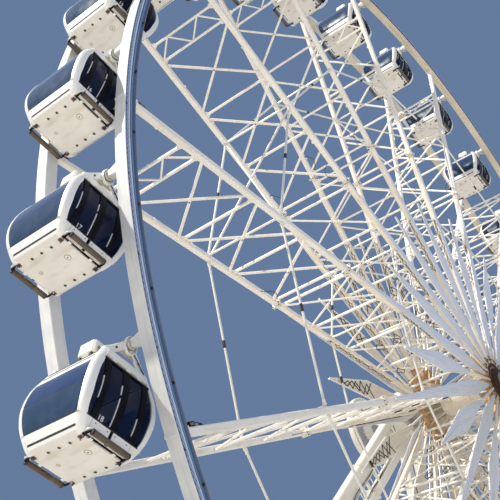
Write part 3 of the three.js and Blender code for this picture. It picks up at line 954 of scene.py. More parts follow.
@dataclass
class Cabins:
    """The thirty closed cabins with their hangers, coolers and bumper bars."""

    walls: tuple[Place, ...] = ((-0.4, 0.5, 0.7), (-0.455, 0.56, 0.712), (-0.6, 0.632, 0.742),
        (-0.8, 0.722, 0.79), (-1.0, 0.79, 0.83), (-1.25, 0.828, 0.855), (-1.45, 0.832, 0.85),
        (-1.65, 0.808, 0.822), (-1.85, 0.762, 0.775), (-2.02, 0.692, 0.725), (-2.14, 0.63, 0.69),
        (-2.22, 0.575, 0.665), (-2.262, 0.52, 0.65))
    roof: float = -0.388
    floor: float = -2.27
    floor_reach: float = 0.645
    roof_edge: float = -0.53
    roof_seam: float = -0.655
    window_head: float = -0.865
    brow_seam: float = -1.4
    window_foot: float = -1.955
    slot_z: float = -2.12
    # Top of the cream underside, whose cream is painted warm bounce light.
    bounce_cream_top: float = -2.2
    wall: float = 0.03
    gasket: float = 0.014
    post_side: float = 0.068
    post_front: float = 0.15
    post_proud: float = 0.078
    door_head: float = -0.74
    door_foot: float = -2.215
    upright_places: tuple[float, ...] = (-0.46, 0.0, 0.46)
    seat: float = -1.83
    bumper_y: float = 0.835
    bumper_half: float = 0.425
    bumper_radius: float = 0.058
    bumper_z: float = -2.243
    hanger_inner: float = 0.66
    hanger_outer: float = 0.72
    strap_y: float = 0.745
    cooler_low: Place = (-0.53, -0.35, -0.345)
    cooler_high: Place = (-0.07, 0.09, -0.002)
    shape: Shape = field(default_factory=Shape)

    def __post_init__(self) -> None:
        """Draws the smooth walls and the half outline from the roof's middle to the floor's middle."""
        self.line = smooth_path(self.walls, 3)
        self.half = np.vstack([[(0.0, self.roof), (0.27, self.roof - 0.002)], self.line[:, [1, 0]],
            [(0.27, self.floor), (0.0, self.floor)]])

    def half_width(self, z: float) -> float:
        """Half the cabin's width at a height."""
        return float(np.interp(-z, -self.line[:, 0], self.line[:, 1]))

    def half_length(self, z: float) -> float:
        """Half the cabin's length at a height."""
        return float(np.interp(-z, -self.line[:, 0], self.line[:, 2]))

    def post_depth(self, z: float) -> float:
        """How deep the frame round an end is at a height."""
        return self.post_front * float(np.interp(z, (-2.25, -1.6, -0.8, -0.45), (0.55, 1.0, 1.0, 0.62)))

    def edge(self, sign: int, inward: float) -> Edge:
        """The place along Y, by the height, that stays this far inwards from one end."""
        return lambda z: sign * (self.half_length(z) - inward)

    def between(self, top: float, foot: float, steps: int) -> np.ndarray:
        """The +X side's outline between two heights, cut into steps."""
        return np.array([(self.half_width(z), z) for z in np.linspace(top, foot, steps + 1)])

    def normals(self, path: np.ndarray) -> list[np.ndarray]:
        """The outward directions along an open stretch of the outline.

        Args:
            path: Its points as (x, z).

        Returns:
            A direction for each point.
        """
        result = []
        for index, point in enumerate(path):
            along = unit(path[min(index + 1, len(path) - 1)] - path[max(index - 1, 0)])
            normal = np.array([-along[1], along[0]])
            result.append(normal if normal @ (point - np.array([0.0, -1.35])) >= 0 else -normal)
        return result

    def skin(self, path: np.ndarray, low: Edge, high: Edge, out: float, thick: float, finish: Finish,
            chamfer: float = 0.004) -> None:
        """Adds a sheet that follows the outline.

        Args:
            path: The outline's points as (x, z).
            low: Where the sheet starts along Y, for each height.
            high: Where it ends.
            out: How far its outer face stands out of the outline.
            thick: Its thickness.
            finish: The finish.
            chamfer: The cut of its edges.
        """
        rings = []
        for point, normal in zip(path, self.normals(path)):
            start, end = low(point[1]), high(point[1])
            ring = []
            for offset, y in oblong(thick, end - start, chamfer):
                flat = point + normal * (out - thick / 2 + offset)
                ring.append((flat[0], (start + end) / 2 + y, flat[1]))
            rings.append(ring)
        self.shape.loft(rings, finish)

    def end_sheet(self, sign: int, levels: Sequence[float], left: Sequence[float], right: Sequence[float],
            back: float, front: float, finish: Finish) -> None:
        """Adds an upright sheet in an end wall, between two edges that vary with the height.

        Args:
            sign: The end.
            levels: The heights.
            left: The -X edge at each height.
            right: The +X edge at each height.
            back: How far out of the corners' line its back is.
            front: How far out of it its front is.
            finish: The finish.
        """
        rings = []
        for z, a, b in zip(levels, left, right):
            near, far = sign * (self.half_length(z) + back), sign * (self.half_length(z) + front)
            rings.append([(a, near, z), (b, near, z), (b, far, z), (a, far, z)])
        self.shape.loft(rings, finish)

    def posts(self, sign: int) -> None:
        """Builds the bowed frame round one end, from the floor up over the roof and down again.

        Args:
            sign: The end.
        """
        half = self.half[:-2][::-1]
        path = np.vstack([half, (half[:-1] * [-1, 1])[::-1]])
        side = self.post_side
        rings = []
        for point, normal in zip(path, self.normals(path)):
            reach, deep = self.half_length(point[1]), self.post_depth(point[1])
            section = ((0.0, -side), (0.01, -0.055), (0.002, -0.005), (-0.022, 0.038), (-0.065, 0.066),
                (-deep, self.post_proud), (-deep, 0.03), (-0.055, -0.02), (-0.045, -side))
            ring = []
            for inward, along in section:
                flat = point + normal * inward
                ring.append((flat[0], sign * (reach + along), flat[1]))
            rings.append(ring)
        self.shape.loft(rings, Finish.CABIN_WHITE)
        for turn in (-1, 1):
            seam = self.between(self.window_foot + 0.003, self.window_foot - 0.003, 1) * [turn, 1]
            self.skin(seam, self.edge(sign, side), self.edge(sign, 0.005), 0.0115, 0.02, Finish.STEEL_GREY,
                0.002)

    def body(self) -> None:
        """Builds the shell: roof, window bands, lower bands and floor."""
        near, far = self.edge(-1, self.post_side), self.edge(1, self.post_side)
        right = np.array([(0.0, self.roof), (0.27, -0.402), (0.44, -0.44), (0.535, -0.478), (0.585, -0.51),
            (self.half_width(self.roof_edge), self.roof_edge)])
        over = np.vstack([(right * [-1, 1])[::-1], right[1:]])
        self.skin(over, near, far, 0.0, self.wall, Finish.CABIN_WHITE)
        self.skin(over[1:-1], near, far, -self.wall, 0.02, Finish.CABIN_LINING)
        for sign in (-1, 1):
            self.long_side(sign)
            self.posts(sign)
        # From this height down the shell takes the cream floor finish, whose cream is painted warm light
        # bounced from the ground.
        lower = self.half[self.half[:, 1] < self.bounce_cream_top]
        under = np.vstack([(self.half_width(self.bounce_cream_top), self.bounce_cream_top), lower])
        below = np.vstack([under[:-1], (under * [-1, 1])[::-1]])
        reach = self.floor_reach
        self.skin(below, lambda z: -reach, lambda z: reach, 0.0, 0.045, Finish.CABIN_FLOOR, 0.01)
        for x in (-0.43, 0.43):
            for y in (-0.305, -0.035, 0.235):
                self.stud(x, y, 0.04, 0.003, Finish.CABIN_FLOOR, 14)
                # Each black disc is painted shade in a hole of the floor.
                self.stud(x, y, 0.031, 0.005, Finish.BLACK_RUBBER, 14)
        for y, radius in ((-0.37, 0.075), (0.38, 0.042)):
            self.stud(-0.07, y, radius, 0.003, Finish.GRIMY_CREAM, 24)
            self.stud(-0.07, y, radius * 0.72, 0.008, Finish.CABIN_FLOOR, 24, 0.004)
            self.stud(-0.07, y, radius * 0.22, 0.011, Finish.RUSTY_IRON, 10)

    def stud(self, x: float, y: float, radius: float, depth: float, finish: Finish, sides: int,
            tips: float = 0.0) -> None:
        """Adds a flat round piece that stands this deep out of the floor."""
        self.shape.rod((x, y, self.floor + 0.01), (x, y, self.floor - depth), radius, finish, sides, tips)

    def long_side(self, sign: int) -> None:
        """Builds one long side with its windows, white band and seat.

        Args:
            sign: -1 or 1 for the -X or +X side.
        """
        flip = np.array([sign, 1])
        g = self.gasket
        near, far = self.edge(-1, self.post_side), self.edge(1, self.post_side)
        glass_near, glass_far = self.edge(-1, self.post_side + g), self.edge(1, self.post_side + g)
        white, rubber = Finish.CABIN_WHITE, Finish.BLACK_RUBBER

        def band(top: float, foot: float, steps: int, out: float, thick: float, finish: Finish,
                low: Edge = near, high: Edge = far, chamfer: float = 0.004) -> None:
            """Adds a sheet on this side between two heights."""
            self.skin(self.between(top, foot, steps) * flip, low, high, out, thick, finish, chamfer)

        def line(z: float, tall: float, out: float) -> None:
            """Adds a thin rubber line below a height."""
            band(z, z - tall, 1, out, 0.02, rubber, chamfer=0.002)

        band(self.roof_edge - 0.03, self.window_head, 7, -0.001, self.wall, white)
        line(self.roof_edge + 0.002, 0.046, 0.004)
        line(self.roof_seam, 0.05, 0.002)
        band(self.window_head - g, self.brow_seam + g / 2, 8, 0.004, 0.012, Finish.BROW_GLASS, glass_near,
            glass_far)
        band(self.brow_seam - g / 2, self.window_foot + g, 9, 0.004, 0.012, Finish.SIDE_GLASS, glass_near,
            glass_far)
        for low, high in ((near, glass_near), (glass_far, far)):
            band(self.window_head, self.window_foot, 16, -0.001, 0.02, rubber, low, high)
        for z in (self.window_head, self.brow_seam + g / 2, self.window_foot + g):
            line(z, g, 0.001)
        band(self.brow_seam + 0.04, self.brow_seam - 0.04, 2, -0.02, 0.02, Finish.BLACK_PAINT)
        band(self.window_foot, self.bounce_cream_top, 6, 0.0, self.wall, white)
        band(self.slot_z + 0.004, self.slot_z - 0.03, 1, 0.003, 0.02, rubber, lambda z: -0.61, lambda z: 0.61,
            0.002)
        seat = self.seat
        self.shape.block((sign * 0.34, -0.5, seat - 0.09), (sign * 0.66, 0.5, seat), Finish.SEAT_BROWN, 0.03)
        band(-1.52, seat, 4, -0.08, 0.05, Finish.SEAT_BROWN, lambda z: -0.5, lambda z: 0.5, 0.02)
        self.shape.block((sign * 0.38, -0.48, self.floor + 0.04), (sign * 0.48, 0.48, seat - 0.09),
            Finish.CABIN_LINING)

    def end_wall(self, sign: int) -> None:
        """Builds the glazed doors, their uprights and the lower panels of one end.

        Args:
            sign: The end.
        """
        shape = self.shape
        white, black, rubber = Finish.CABIN_WHITE, Finish.BLACK_PAINT, Finish.BLACK_RUBBER

        def inside(z: float, inward: float = 0.0) -> float:
            """Half the width between the posts at a height, less what it is moved inwards."""
            return self.half_width(z) - self.post_depth(z) + 0.012 - inward

        def across(top: float, foot: float, steps: int, back: float, front: float, finish: Finish) -> None:
            """Adds a sheet from post to post.

            Args:
                top: The height of its upper edge.
                foot: The height of its lower edge.
                steps: The heights in between, with both edges.
                back: How far out of the corners' line its back is.
                front: How far out of it its front is.
                finish: The finish.
            """
            levels = np.linspace(top, foot, steps)
            width = np.array([inside(z) for z in levels])
            self.end_sheet(sign, levels, -width, width, back, front, finish)

        head, sill, foot = self.door_head, self.window_foot - 0.005, self.door_foot
        across(-0.47, head + 0.1, 4, 0.02, 0.074, white)
        across(head + 0.1, head + 0.045, 3, 0.015, 0.06, Finish.GRIMY_CREAM)
        across(head + 0.045, head, 2, 0.015, 0.068, black)
        across(head, sill, 18, 0.036, 0.046, Finish.END_GLASS)
        z = head + 0.085
        y = self.half_length(z)
        for x in (-0.33, 0.02, 0.31):
            shape.block((x - 0.05, sign * (y + 0.05), z - 0.018), (x + 0.05, sign * (y + 0.072), z + 0.018),
                white, 0.005)
        levels = np.linspace(head, sill, 18)
        for place in self.upright_places:
            wide = 0.066 if place else 0.082
            middle = np.full(len(levels), place)
            self.end_sheet(sign, levels, middle - wide, middle + wide, 0.03, 0.064, black)
        # The thin white strips down parts of the uprights' left edges are painted highlights.
        for place, top, low in ((-0.46, -1.16, -1.62), (0.0, -1.1, -1.3), (0.0, -1.38, -1.93),
                (0.46, -1.52, -1.84)):
            edge = np.full(8, place - (0.07 if place else 0.086))
            self.end_sheet(sign, np.linspace(top, low, 8), edge - 0.007, edge + 0.005, 0.034, 0.067, white)
        across(sill, sill - 0.014, 2, 0.03, 0.066, rubber)
        # This sheet takes the cream floor finish, whose cream is painted warm bounce light.
        across(sill - 0.014, foot, 6, 0.01, 0.036, Finish.CABIN_FLOOR)
        gap = np.full(6, 0.034)
        self.end_sheet(sign, np.linspace(sill - 0.014, foot, 6), -gap, gap, 0.02, 0.04, black)
        panels = np.linspace(sill - 0.018, foot + 0.01, 6)
        outer = np.array([inside(z, 0.004) for z in panels])
        seam = np.minimum(outer - 0.02, 0.46)
        for side in (-1, 1):
            for first, second in ((np.full(6, 0.035), seam - 0.005), (seam + 0.005, outer)):
                left, right = (first, second) if side > 0 else (-second, -first)
                self.end_sheet(sign, panels, left, right, 0.035, 0.062, white)
            for z in (panels[1], panels[-2]):
                y = self.half_length(z) + 0.058
                for x in (side * 0.09, side * 0.37):
                    shape.rod((x, sign * y, z), (x, sign * (y + 0.012), z), 0.011, rubber, 8)
        z = head + 0.02
        y = sign * (self.half_length(z) + 0.06)
        shape.rod((-inside(z) + 0.03, y, z), (inside(z) - 0.03, y, z), 0.012, rubber, 8)

    def bumpers(self, sign: int) -> None:
        """Builds the thick bar below one door, its arms, clamps and brackets.

        Args:
            sign: The end.
        """
        shape = self.shape
        z, y, half, floor = self.bumper_z, self.bumper_y, self.bumper_half, self.floor
        white, black = Finish.CABIN_WHITE, Finish.BLACK_PAINT
        rust, zinc = Finish.RUSTY_IRON, Finish.GALVANISED

        def at(x: float, along: float, level: float) -> Place:
            """A point this far along towards the end."""
            return (x, sign * along, level)

        def pin(x: float, along: float, top: float, foot: float, radius: float, finish: Finish, sides: int,
                tips: float = 0.0) -> None:
            """Adds an upright rod between two heights."""
            shape.rod(at(x, along, top), at(x, along, foot), radius, finish, sides, tips)

        shape.rod(at(-half, y, z), at(half, y, z), self.bumper_radius, Finish.BUMPER_BROWN, 18, 0.014)
        tube = smooth_path([at(-0.455, 0.6, z - 0.005), at(-0.462, 0.74, z), at(-0.458, 0.81, z),
            at(-half + 0.01, y, z)], 3)
        for side in (-1, 1):
            shape.swept(tube * [side, 1, 1], circle(0.021, 10), Z, black)
            shape.rod(at(side * (half - 0.03), y, z), at(side * (half + 0.022), y, z),
                self.bumper_radius + 0.002, Finish.BLACK_RUBBER, 16, 0.014)
            x = side * 0.455
            shape.block(at(x - 0.042, 0.545, floor - 0.016), at(x + 0.042, 0.635, floor + 0.02), rust)
            shape.block(at(x - 0.024, 0.6, z - 0.028), at(x + 0.024, 0.68, z + 0.026), black)
            pin(x - side * 0.03, 0.56, floor, floor - 0.045, 0.016, zinc, 10, 0.005)
            pin(x + side * 0.02, 0.59, floor - 0.01, floor - 0.034, 0.022, rust, 6)
            pin(x + side * 0.01, 0.655, z - 0.04, z + 0.04, 0.014, zinc, 8)
        for low, high in ((-0.34, -0.27), (0.2, 0.27)):
            shape.block(at(low * -sign, 0.6, floor + 0.004), at(high * -sign, 0.7, floor + 0.016), white,
                0.004)
            pin((low + high) / -2 * sign, 0.67, floor - 0.012, floor + 0.03, 0.014, white, 8)
        cap = smooth_path([at(-0.49, 0.735, z + 0.03), at(-0.475, 0.8, z + 0.045), at(-0.43, y, z + 0.052),
            at(-0.34, y + 0.004, z + 0.058)], 3)
        shape.swept(cap, oblong(0.055, 0.022, 0.008), Z, white, tips=0.004)

    def hanger(self, sign: int) -> None:
        """Builds the pair of arms from the end frame to the bearing at one end.

        Args:
            sign: The end.
        """
        shape = self.shape
        white, cream, rubber = Finish.CABIN_WHITE, Finish.GRIMY_CREAM, Finish.BLACK_RUBBER
        y = sign * (self.hanger_inner + self.hanger_outer) / 2
        thick = self.hanger_outer - self.hanger_inner
        for side in (-1, 1):
            line = smooth_path([(side * 0.49, y, -0.43), (side * 0.36, y, -0.33), (side * 0.19, y, -0.165),
                (side * 0.03, y, -0.01)], 3)
            last = len(line) - 1
            rings = []
            for index, point in enumerate(line):
                along = unit(line[min(index + 1, last)] - line[max(index - 1, 0)])
                across = np.array([-along[2], 0.0, along[0]])
                rings.append([point + across * a + np.array([0.0, b, 0.0])
                    for a, b in oblong(0.125 + 0.055 * index / last, thick - 0.004, 0.016)])
            shape.loft(rings, white)
            shape.block((side * 0.38, sign * 0.6, -0.44), (side * 0.545, sign * 0.715, -0.385), white, 0.015)
            for x in (side * 0.41, side * 0.5):
                shape.rod((x, sign * 0.63, -0.39), (x, sign * 0.63, -0.368), 0.014, Finish.RUSTY_IRON, 6)
        # The darker cream of the web plate and of the bar along the roof is painted shadow under the bearing.
        web = [(-0.2, -0.27), (0.2, -0.27), (0.1, -0.04), (-0.1, -0.04)]
        shape.slab(web, (0, y, 0), X, Z, -0.014, 0.014, cream, 0.004)
        shape.bar((-0.46, y, -0.395), (0.46, y, -0.395), 0.03, 0.05, Z, cream, 0.006)
        for x, z in ((-0.29, -0.262), (0.0, -0.19), (0.29, -0.262)):
            shape.rod((x, y - 0.045, z), (x, y + 0.045, z), 0.022, rubber, 8)
        level = sign * self.strap_y
        strap = smooth_path([(0.0, level, 0.145), (0.1, level, 0.11), (0.14, level, 0.0),
            (0.135, level, -0.13), (0.06, level, -0.225), (0.0, level, -0.24)], 3)
        for side in (-1, 1):
            shape.swept(strap * [side, 1, 1], oblong(0.018, 0.075, 0.005), Y, white)
        lead = [(0.13, level, -0.17), (0.2, level, -0.22), (0.34, level - sign * 0.012, -0.31),
            (0.47, level - sign * 0.02, -0.4), (0.54, level - sign * 0.03, -0.47)]
        shape.cable(lead, 4, 0.011, 6, Y, rubber)
        # The bush's darker cream is painted shade round the bearing.
        shape.turned([(0.08, sign * 0.5), (0.105, sign * 0.51), (0.108, sign * 0.65), (0.122, sign * 0.66),
            (0.122, sign * (self.hanger_outer - 0.001))], (0.0, 0.0, 0.0), cream, 24)
        feed = [(0.03, sign * 0.56, 0.11), (0.17, sign * 0.61, 0.02), (0.31, sign * 0.6, -0.16),
            (0.41, sign * 0.57, -0.33), (0.43, sign * 0.52, -0.392)]
        shape.cable(feed, 4, 0.009, 6, Y, rubber)

    def cooler(self) -> None:
        """Builds the cooler on the roof, with its feet, grilles, fan cover and pipe."""
        shape = self.shape
        cream, rubber = Finish.COOLER_CREAM, Finish.BLACK_RUBBER
        low, high = self.cooler_low, self.cooler_high
        x, y = (low[0] + high[0]) / 2, (low[1] + high[1]) / 2
        top = high[2]
        shape.block(low, high, cream, 0.045)
        for sign, face in ((-1, low[1]), (1, high[1])):
            for step in range(5):
                z = low[2] + 0.08 + step * 0.026
                shape.block((low[0] + 0.1, face - sign * 0.01, z), (high[0] - 0.1, face + sign * 0.006,
                    z + 0.01), rubber, 0.002)
        for a in (low[0] + 0.05, high[0] - 0.05):
            for b in (low[1] + 0.07, high[1] - 0.07):
                shape.block((a - 0.035, b - 0.04, -0.43), (a + 0.035, b + 0.04, low[2] + 0.02), rubber, 0.008)
        for foot, rise, radius, finish, sides, tips in ((-0.01, 0.01, 0.15, cream, 28, 0.006),
                (0.0, 0.012, 0.125, rubber, 28, 0.0), (0.0, 0.017, 0.045, cream, 16, 0.004)):
            shape.rod((x, y, top + foot), (x, y, top + rise), radius, finish, sides, tips)
        pipe = [(high[0] - 0.02, y, -0.3), (high[0] + 0.06, y, -0.3), (high[0] + 0.1, y + 0.03, -0.34),
            (high[0] + 0.11, y + 0.05, -0.4)]
        shape.cable(pipe, 4, 0.014, 8, Z, rubber)

    def number(self, value: int) -> Mesh:
        """Makes the plain number on the glass of both ends.

        Args:
            value: The number.

        Returns:
            Its mesh, about the pivot.
        """
        text = bpy.data.curves.new("number", "FONT")
        text.body = str(value)
        text.size = 0.135
        text.extrude = 0.002
        text.align_x = "CENTER"
        writer = shown("number", text)
        graph = bpy.context.evaluated_depsgraph_get()
        flat = bpy.data.meshes.new_from_object(writer.evaluated_get(graph))
        bpy.data.objects.remove(writer)
        corners = []
        for vertex in flat.vertices:
            x, tall, deep = vertex.co
            z = self.window_foot + 0.02 + tall
            corners.append((x - 0.315, -(self.half_length(z) + 0.048 + deep), z))
        faces = [tuple(polygon.vertices) for polygon in flat.polygons]
        single = Shape(corners, faces, [Finish.NUMBER_WHITE] * len(faces), [0.0] * len(corners), corners)
        digits = Shape()
        for turn in (0.0, pi):
            digits.join(single, Matrix.Rotation(turn, 4, "Z"))
        bpy.data.meshes.remove(flat)
        return digits.mesh(f"number_{value:02d}")

    def build(self) -> None:
        """Builds every cabin and its number."""
        self.body()
        for sign in (-1, 1):
            self.end_wall(sign)
            self.bumpers(sign)
            self.hanger(sign)
        self.cooler()
        template = self.shape.mesh("cabin")
        for index in range(1, CABIN_COUNT + 1):
            name = f"cabin_{index:02d}"
            place = Matrix.Translation(PLACES[f"{name}_swing"])
            stand_in(name, template, place, f"{name}_body", Slot.CABIN)
            digits = self.number(index)
            digits.transform(place)
            settle(shown(f"{name}_number", digits), f"{name}_body", Slot.CABIN)
        bpy.data.meshes.remove(template)


@dataclass
class Rim:
    """One rim with its light channel, splices, clips and the arms to the cabins' bearings."""

    place: str
    sign: int
    outer: float = 18.12
    inner: float = 17.8
    half_width: float = 0.16
    sides: int = 240

    def level(self, offset: float) -> float:
        """The place along Y of an offset outwards from the rim's middle."""
        return self.sign * (CHORD_Y + offset)

    def repeat(self, label: str, shape: Shape, finish: Finish, count: int, first: float) -> None:
        """Sets copies of a shape round the rim."""
        spun(f"{self.place}_rim_{label}", shape, finish, count, first)

    def ring(self) -> None:
        """Builds the ring, whose section is listed as depth inwards, place across and finish."""
        w = self.half_width
        deep = self.outer - self.inner
        white, cream, rope = Finish.RIM_WHITE, Finish.RIM_CREAM, Finish.ROPE_LIGHT
        navy, sky, steel, brown = (Finish.CHANNEL_NAVY, Finish.CHANNEL_SKY, Finish.CHANNEL_STEEL,
            Finish.CHANNEL_BROWN)
        # The channel's blues are partly painted light: the side face is in shade with a blue cast from the
        # sky, the navy in the grooves is painted shade, and the sky blue on the ridge is painted sky light.
        steps = ((0.012, -w, white), (0.0, -w + 0.012, white), (0.0, w - 0.012, white), (0.008, w, navy),
            (0.036, w, navy), (0.04, w - 0.012, rope), (0.048, w + 0.002, rope), (0.086, w + 0.002, navy),
            (0.088, w - 0.02, navy), (0.1, w - 0.02, sky), (0.102, w - 0.004, sky), (0.142, w - 0.004, navy),
            (0.144, w - 0.045, navy), (0.19, w - 0.045, steel), (0.194, w - 0.03, steel),
            (0.226, w - 0.03, navy), (0.23, w - 0.045, navy), (0.292, w - 0.045, steel),
            (0.296, w - 0.002, brown), (deep - 0.006, w - 0.002, cream), (deep, w - 0.012, cream),
            (deep, -w + 0.012, cream), (deep - 0.012, -w, white))
        shape = Shape()
        shape.hoop([(self.outer - depth, self.level(offset)) for depth, offset, _ in steps],
            [finish for _, _, finish in steps], self.sides)
        shape.settle(f"{self.place}_rim_ring", "wheel", Slot.FRAME, f"{self.place}_rim")

    def arms(self) -> None:
        """Builds the tapered arms to the bearings."""
        shape = Shape()
        s = self.sign
        stations = ((1.09, 17.84, 18.1, 0.3), (1.065, 17.845, 18.098, 0.29), (1.01, 17.87, 18.092, 0.255),
            (0.94, 17.895, 18.085, 0.22), (0.86, 17.912, 18.08, 0.185), (0.79, 17.92, 18.078, 0.165),
            (0.724, 17.925, 18.075, 0.15))
        shape.loft([[((low + high) / 2 + a, s * y, b) for a, b in oblong(high - low, wide, 0.022)]
            for y, low, high, wide in stations], Finish.RIM_WHITE)
        # The darker cream strips along the arm's edges are painted shade under the arm.
        for z in (-0.1, 0.1):
            line = smooth_path([(17.83, s * 1.07, z), (17.845, s * 1.0, z * 0.9), (17.875, s * 0.92, z * 0.7),
                (17.9, s * 0.85, z * 0.5)], 3)
            shape.swept(line, oblong(0.05, 0.022, 0.005), X, Finish.GRIMY_CREAM)
        self.repeat("arms", shape, Finish.RIM_WHITE, CABIN_COUNT, FIRST_CABIN_ANGLE)

    def bearings(self) -> None:
        """Builds the bearings and the strap round each."""
        s = self.sign
        centre = (PIVOT_RADIUS, 0.0, 0.0)
        bearing, strap = Shape(), Shape()
        # The bearings' darker cream is partly grime and partly painted shade.
        bearing.turned([(0.085, s * 0.7212), (0.105, s * 0.7215), (0.108, s * 0.735), (0.108, s * 0.8),
            (0.1, s * 0.808), (0.086, s * 0.81)], centre, Finish.GRIMY_CREAM, 20)
        self.repeat("bearings", bearing, Finish.GRIMY_CREAM, CABIN_COUNT, FIRST_CABIN_ANGLE)
        strap.turned([(0.105, s * 0.745), (0.116, s * 0.748), (0.116, s * 0.784), (0.105, s * 0.787)], centre,
            Finish.CABIN_WHITE, 20)
        strap.block((PIVOT_RADIUS + 0.1, s * 0.75, -0.03), (PIVOT_RADIUS + 0.12, s * 0.782, 0.03),
            Finish.CABIN_WHITE, 0.006)
        self.repeat("straps", strap, Finish.CABIN_WHITE, CABIN_COUNT, FIRST_CABIN_ANGLE)

    def splices(self) -> None:
        """Builds the bolted splices of the ring."""
        shape = Shape()
        for z in (-0.016, 0.016):
            shape.block((self.inner - 0.014, self.level(-self.half_width - 0.012), z - 0.011),
                (self.outer + 0.008, self.level(self.half_width - 0.07), z + 0.011), Finish.RIM_WHITE, 0.004)
        y = self.level(-self.half_width - 0.01)
        for radius in (self.inner + 0.05, self.inner + 0.16, self.inner + 0.27):
            for z in (-0.045, 0.045):
                shape.rod((radius, y + self.sign * 0.02, z), (radius, y - self.sign * 0.012, z), 0.012,
                    Finish.RIM_WHITE, 6)
        self.repeat("splices", shape, Finish.RIM_WHITE, SPOKE_COUNT, FIRST_SPOKE_ANGLE)

    def clips(self, label: str, radius: float, turn: float, first: float) -> None:
        """Builds a row of clips on the light channel.

        Args:
            label: The row's name.
            radius: Its radius.
            turn: How far round the first one is set from its place, in degrees.
            first: The angle of its place.
        """
        clip, turned = Shape(), Shape()
        clip.block((radius - 0.016, self.level(self.half_width - 0.03), -0.024),
            (radius + 0.016, self.level(self.half_width + 0.01), 0.024), Finish.BLACK_RUBBER, 0.004)
        turned.join(clip, Matrix.Rotation(-radians(turn), 4, "Y"))
        self.repeat(label, turned, Finish.BLACK_RUBBER, 2 * CABIN_COUNT, first)

    def build(self) -> None:
        """Builds the rim and what repeats round it."""
        self.ring()
        self.arms()
        self.bearings()
        self.splices()
        self.clips("outer_clips", self.outer - 0.036, 0.0, FIRST_CABIN_ANGLE + 1)
        self.clips("inner_clips", self.outer - 0.268, 3.1, FIRST_CABIN_ANGLE)


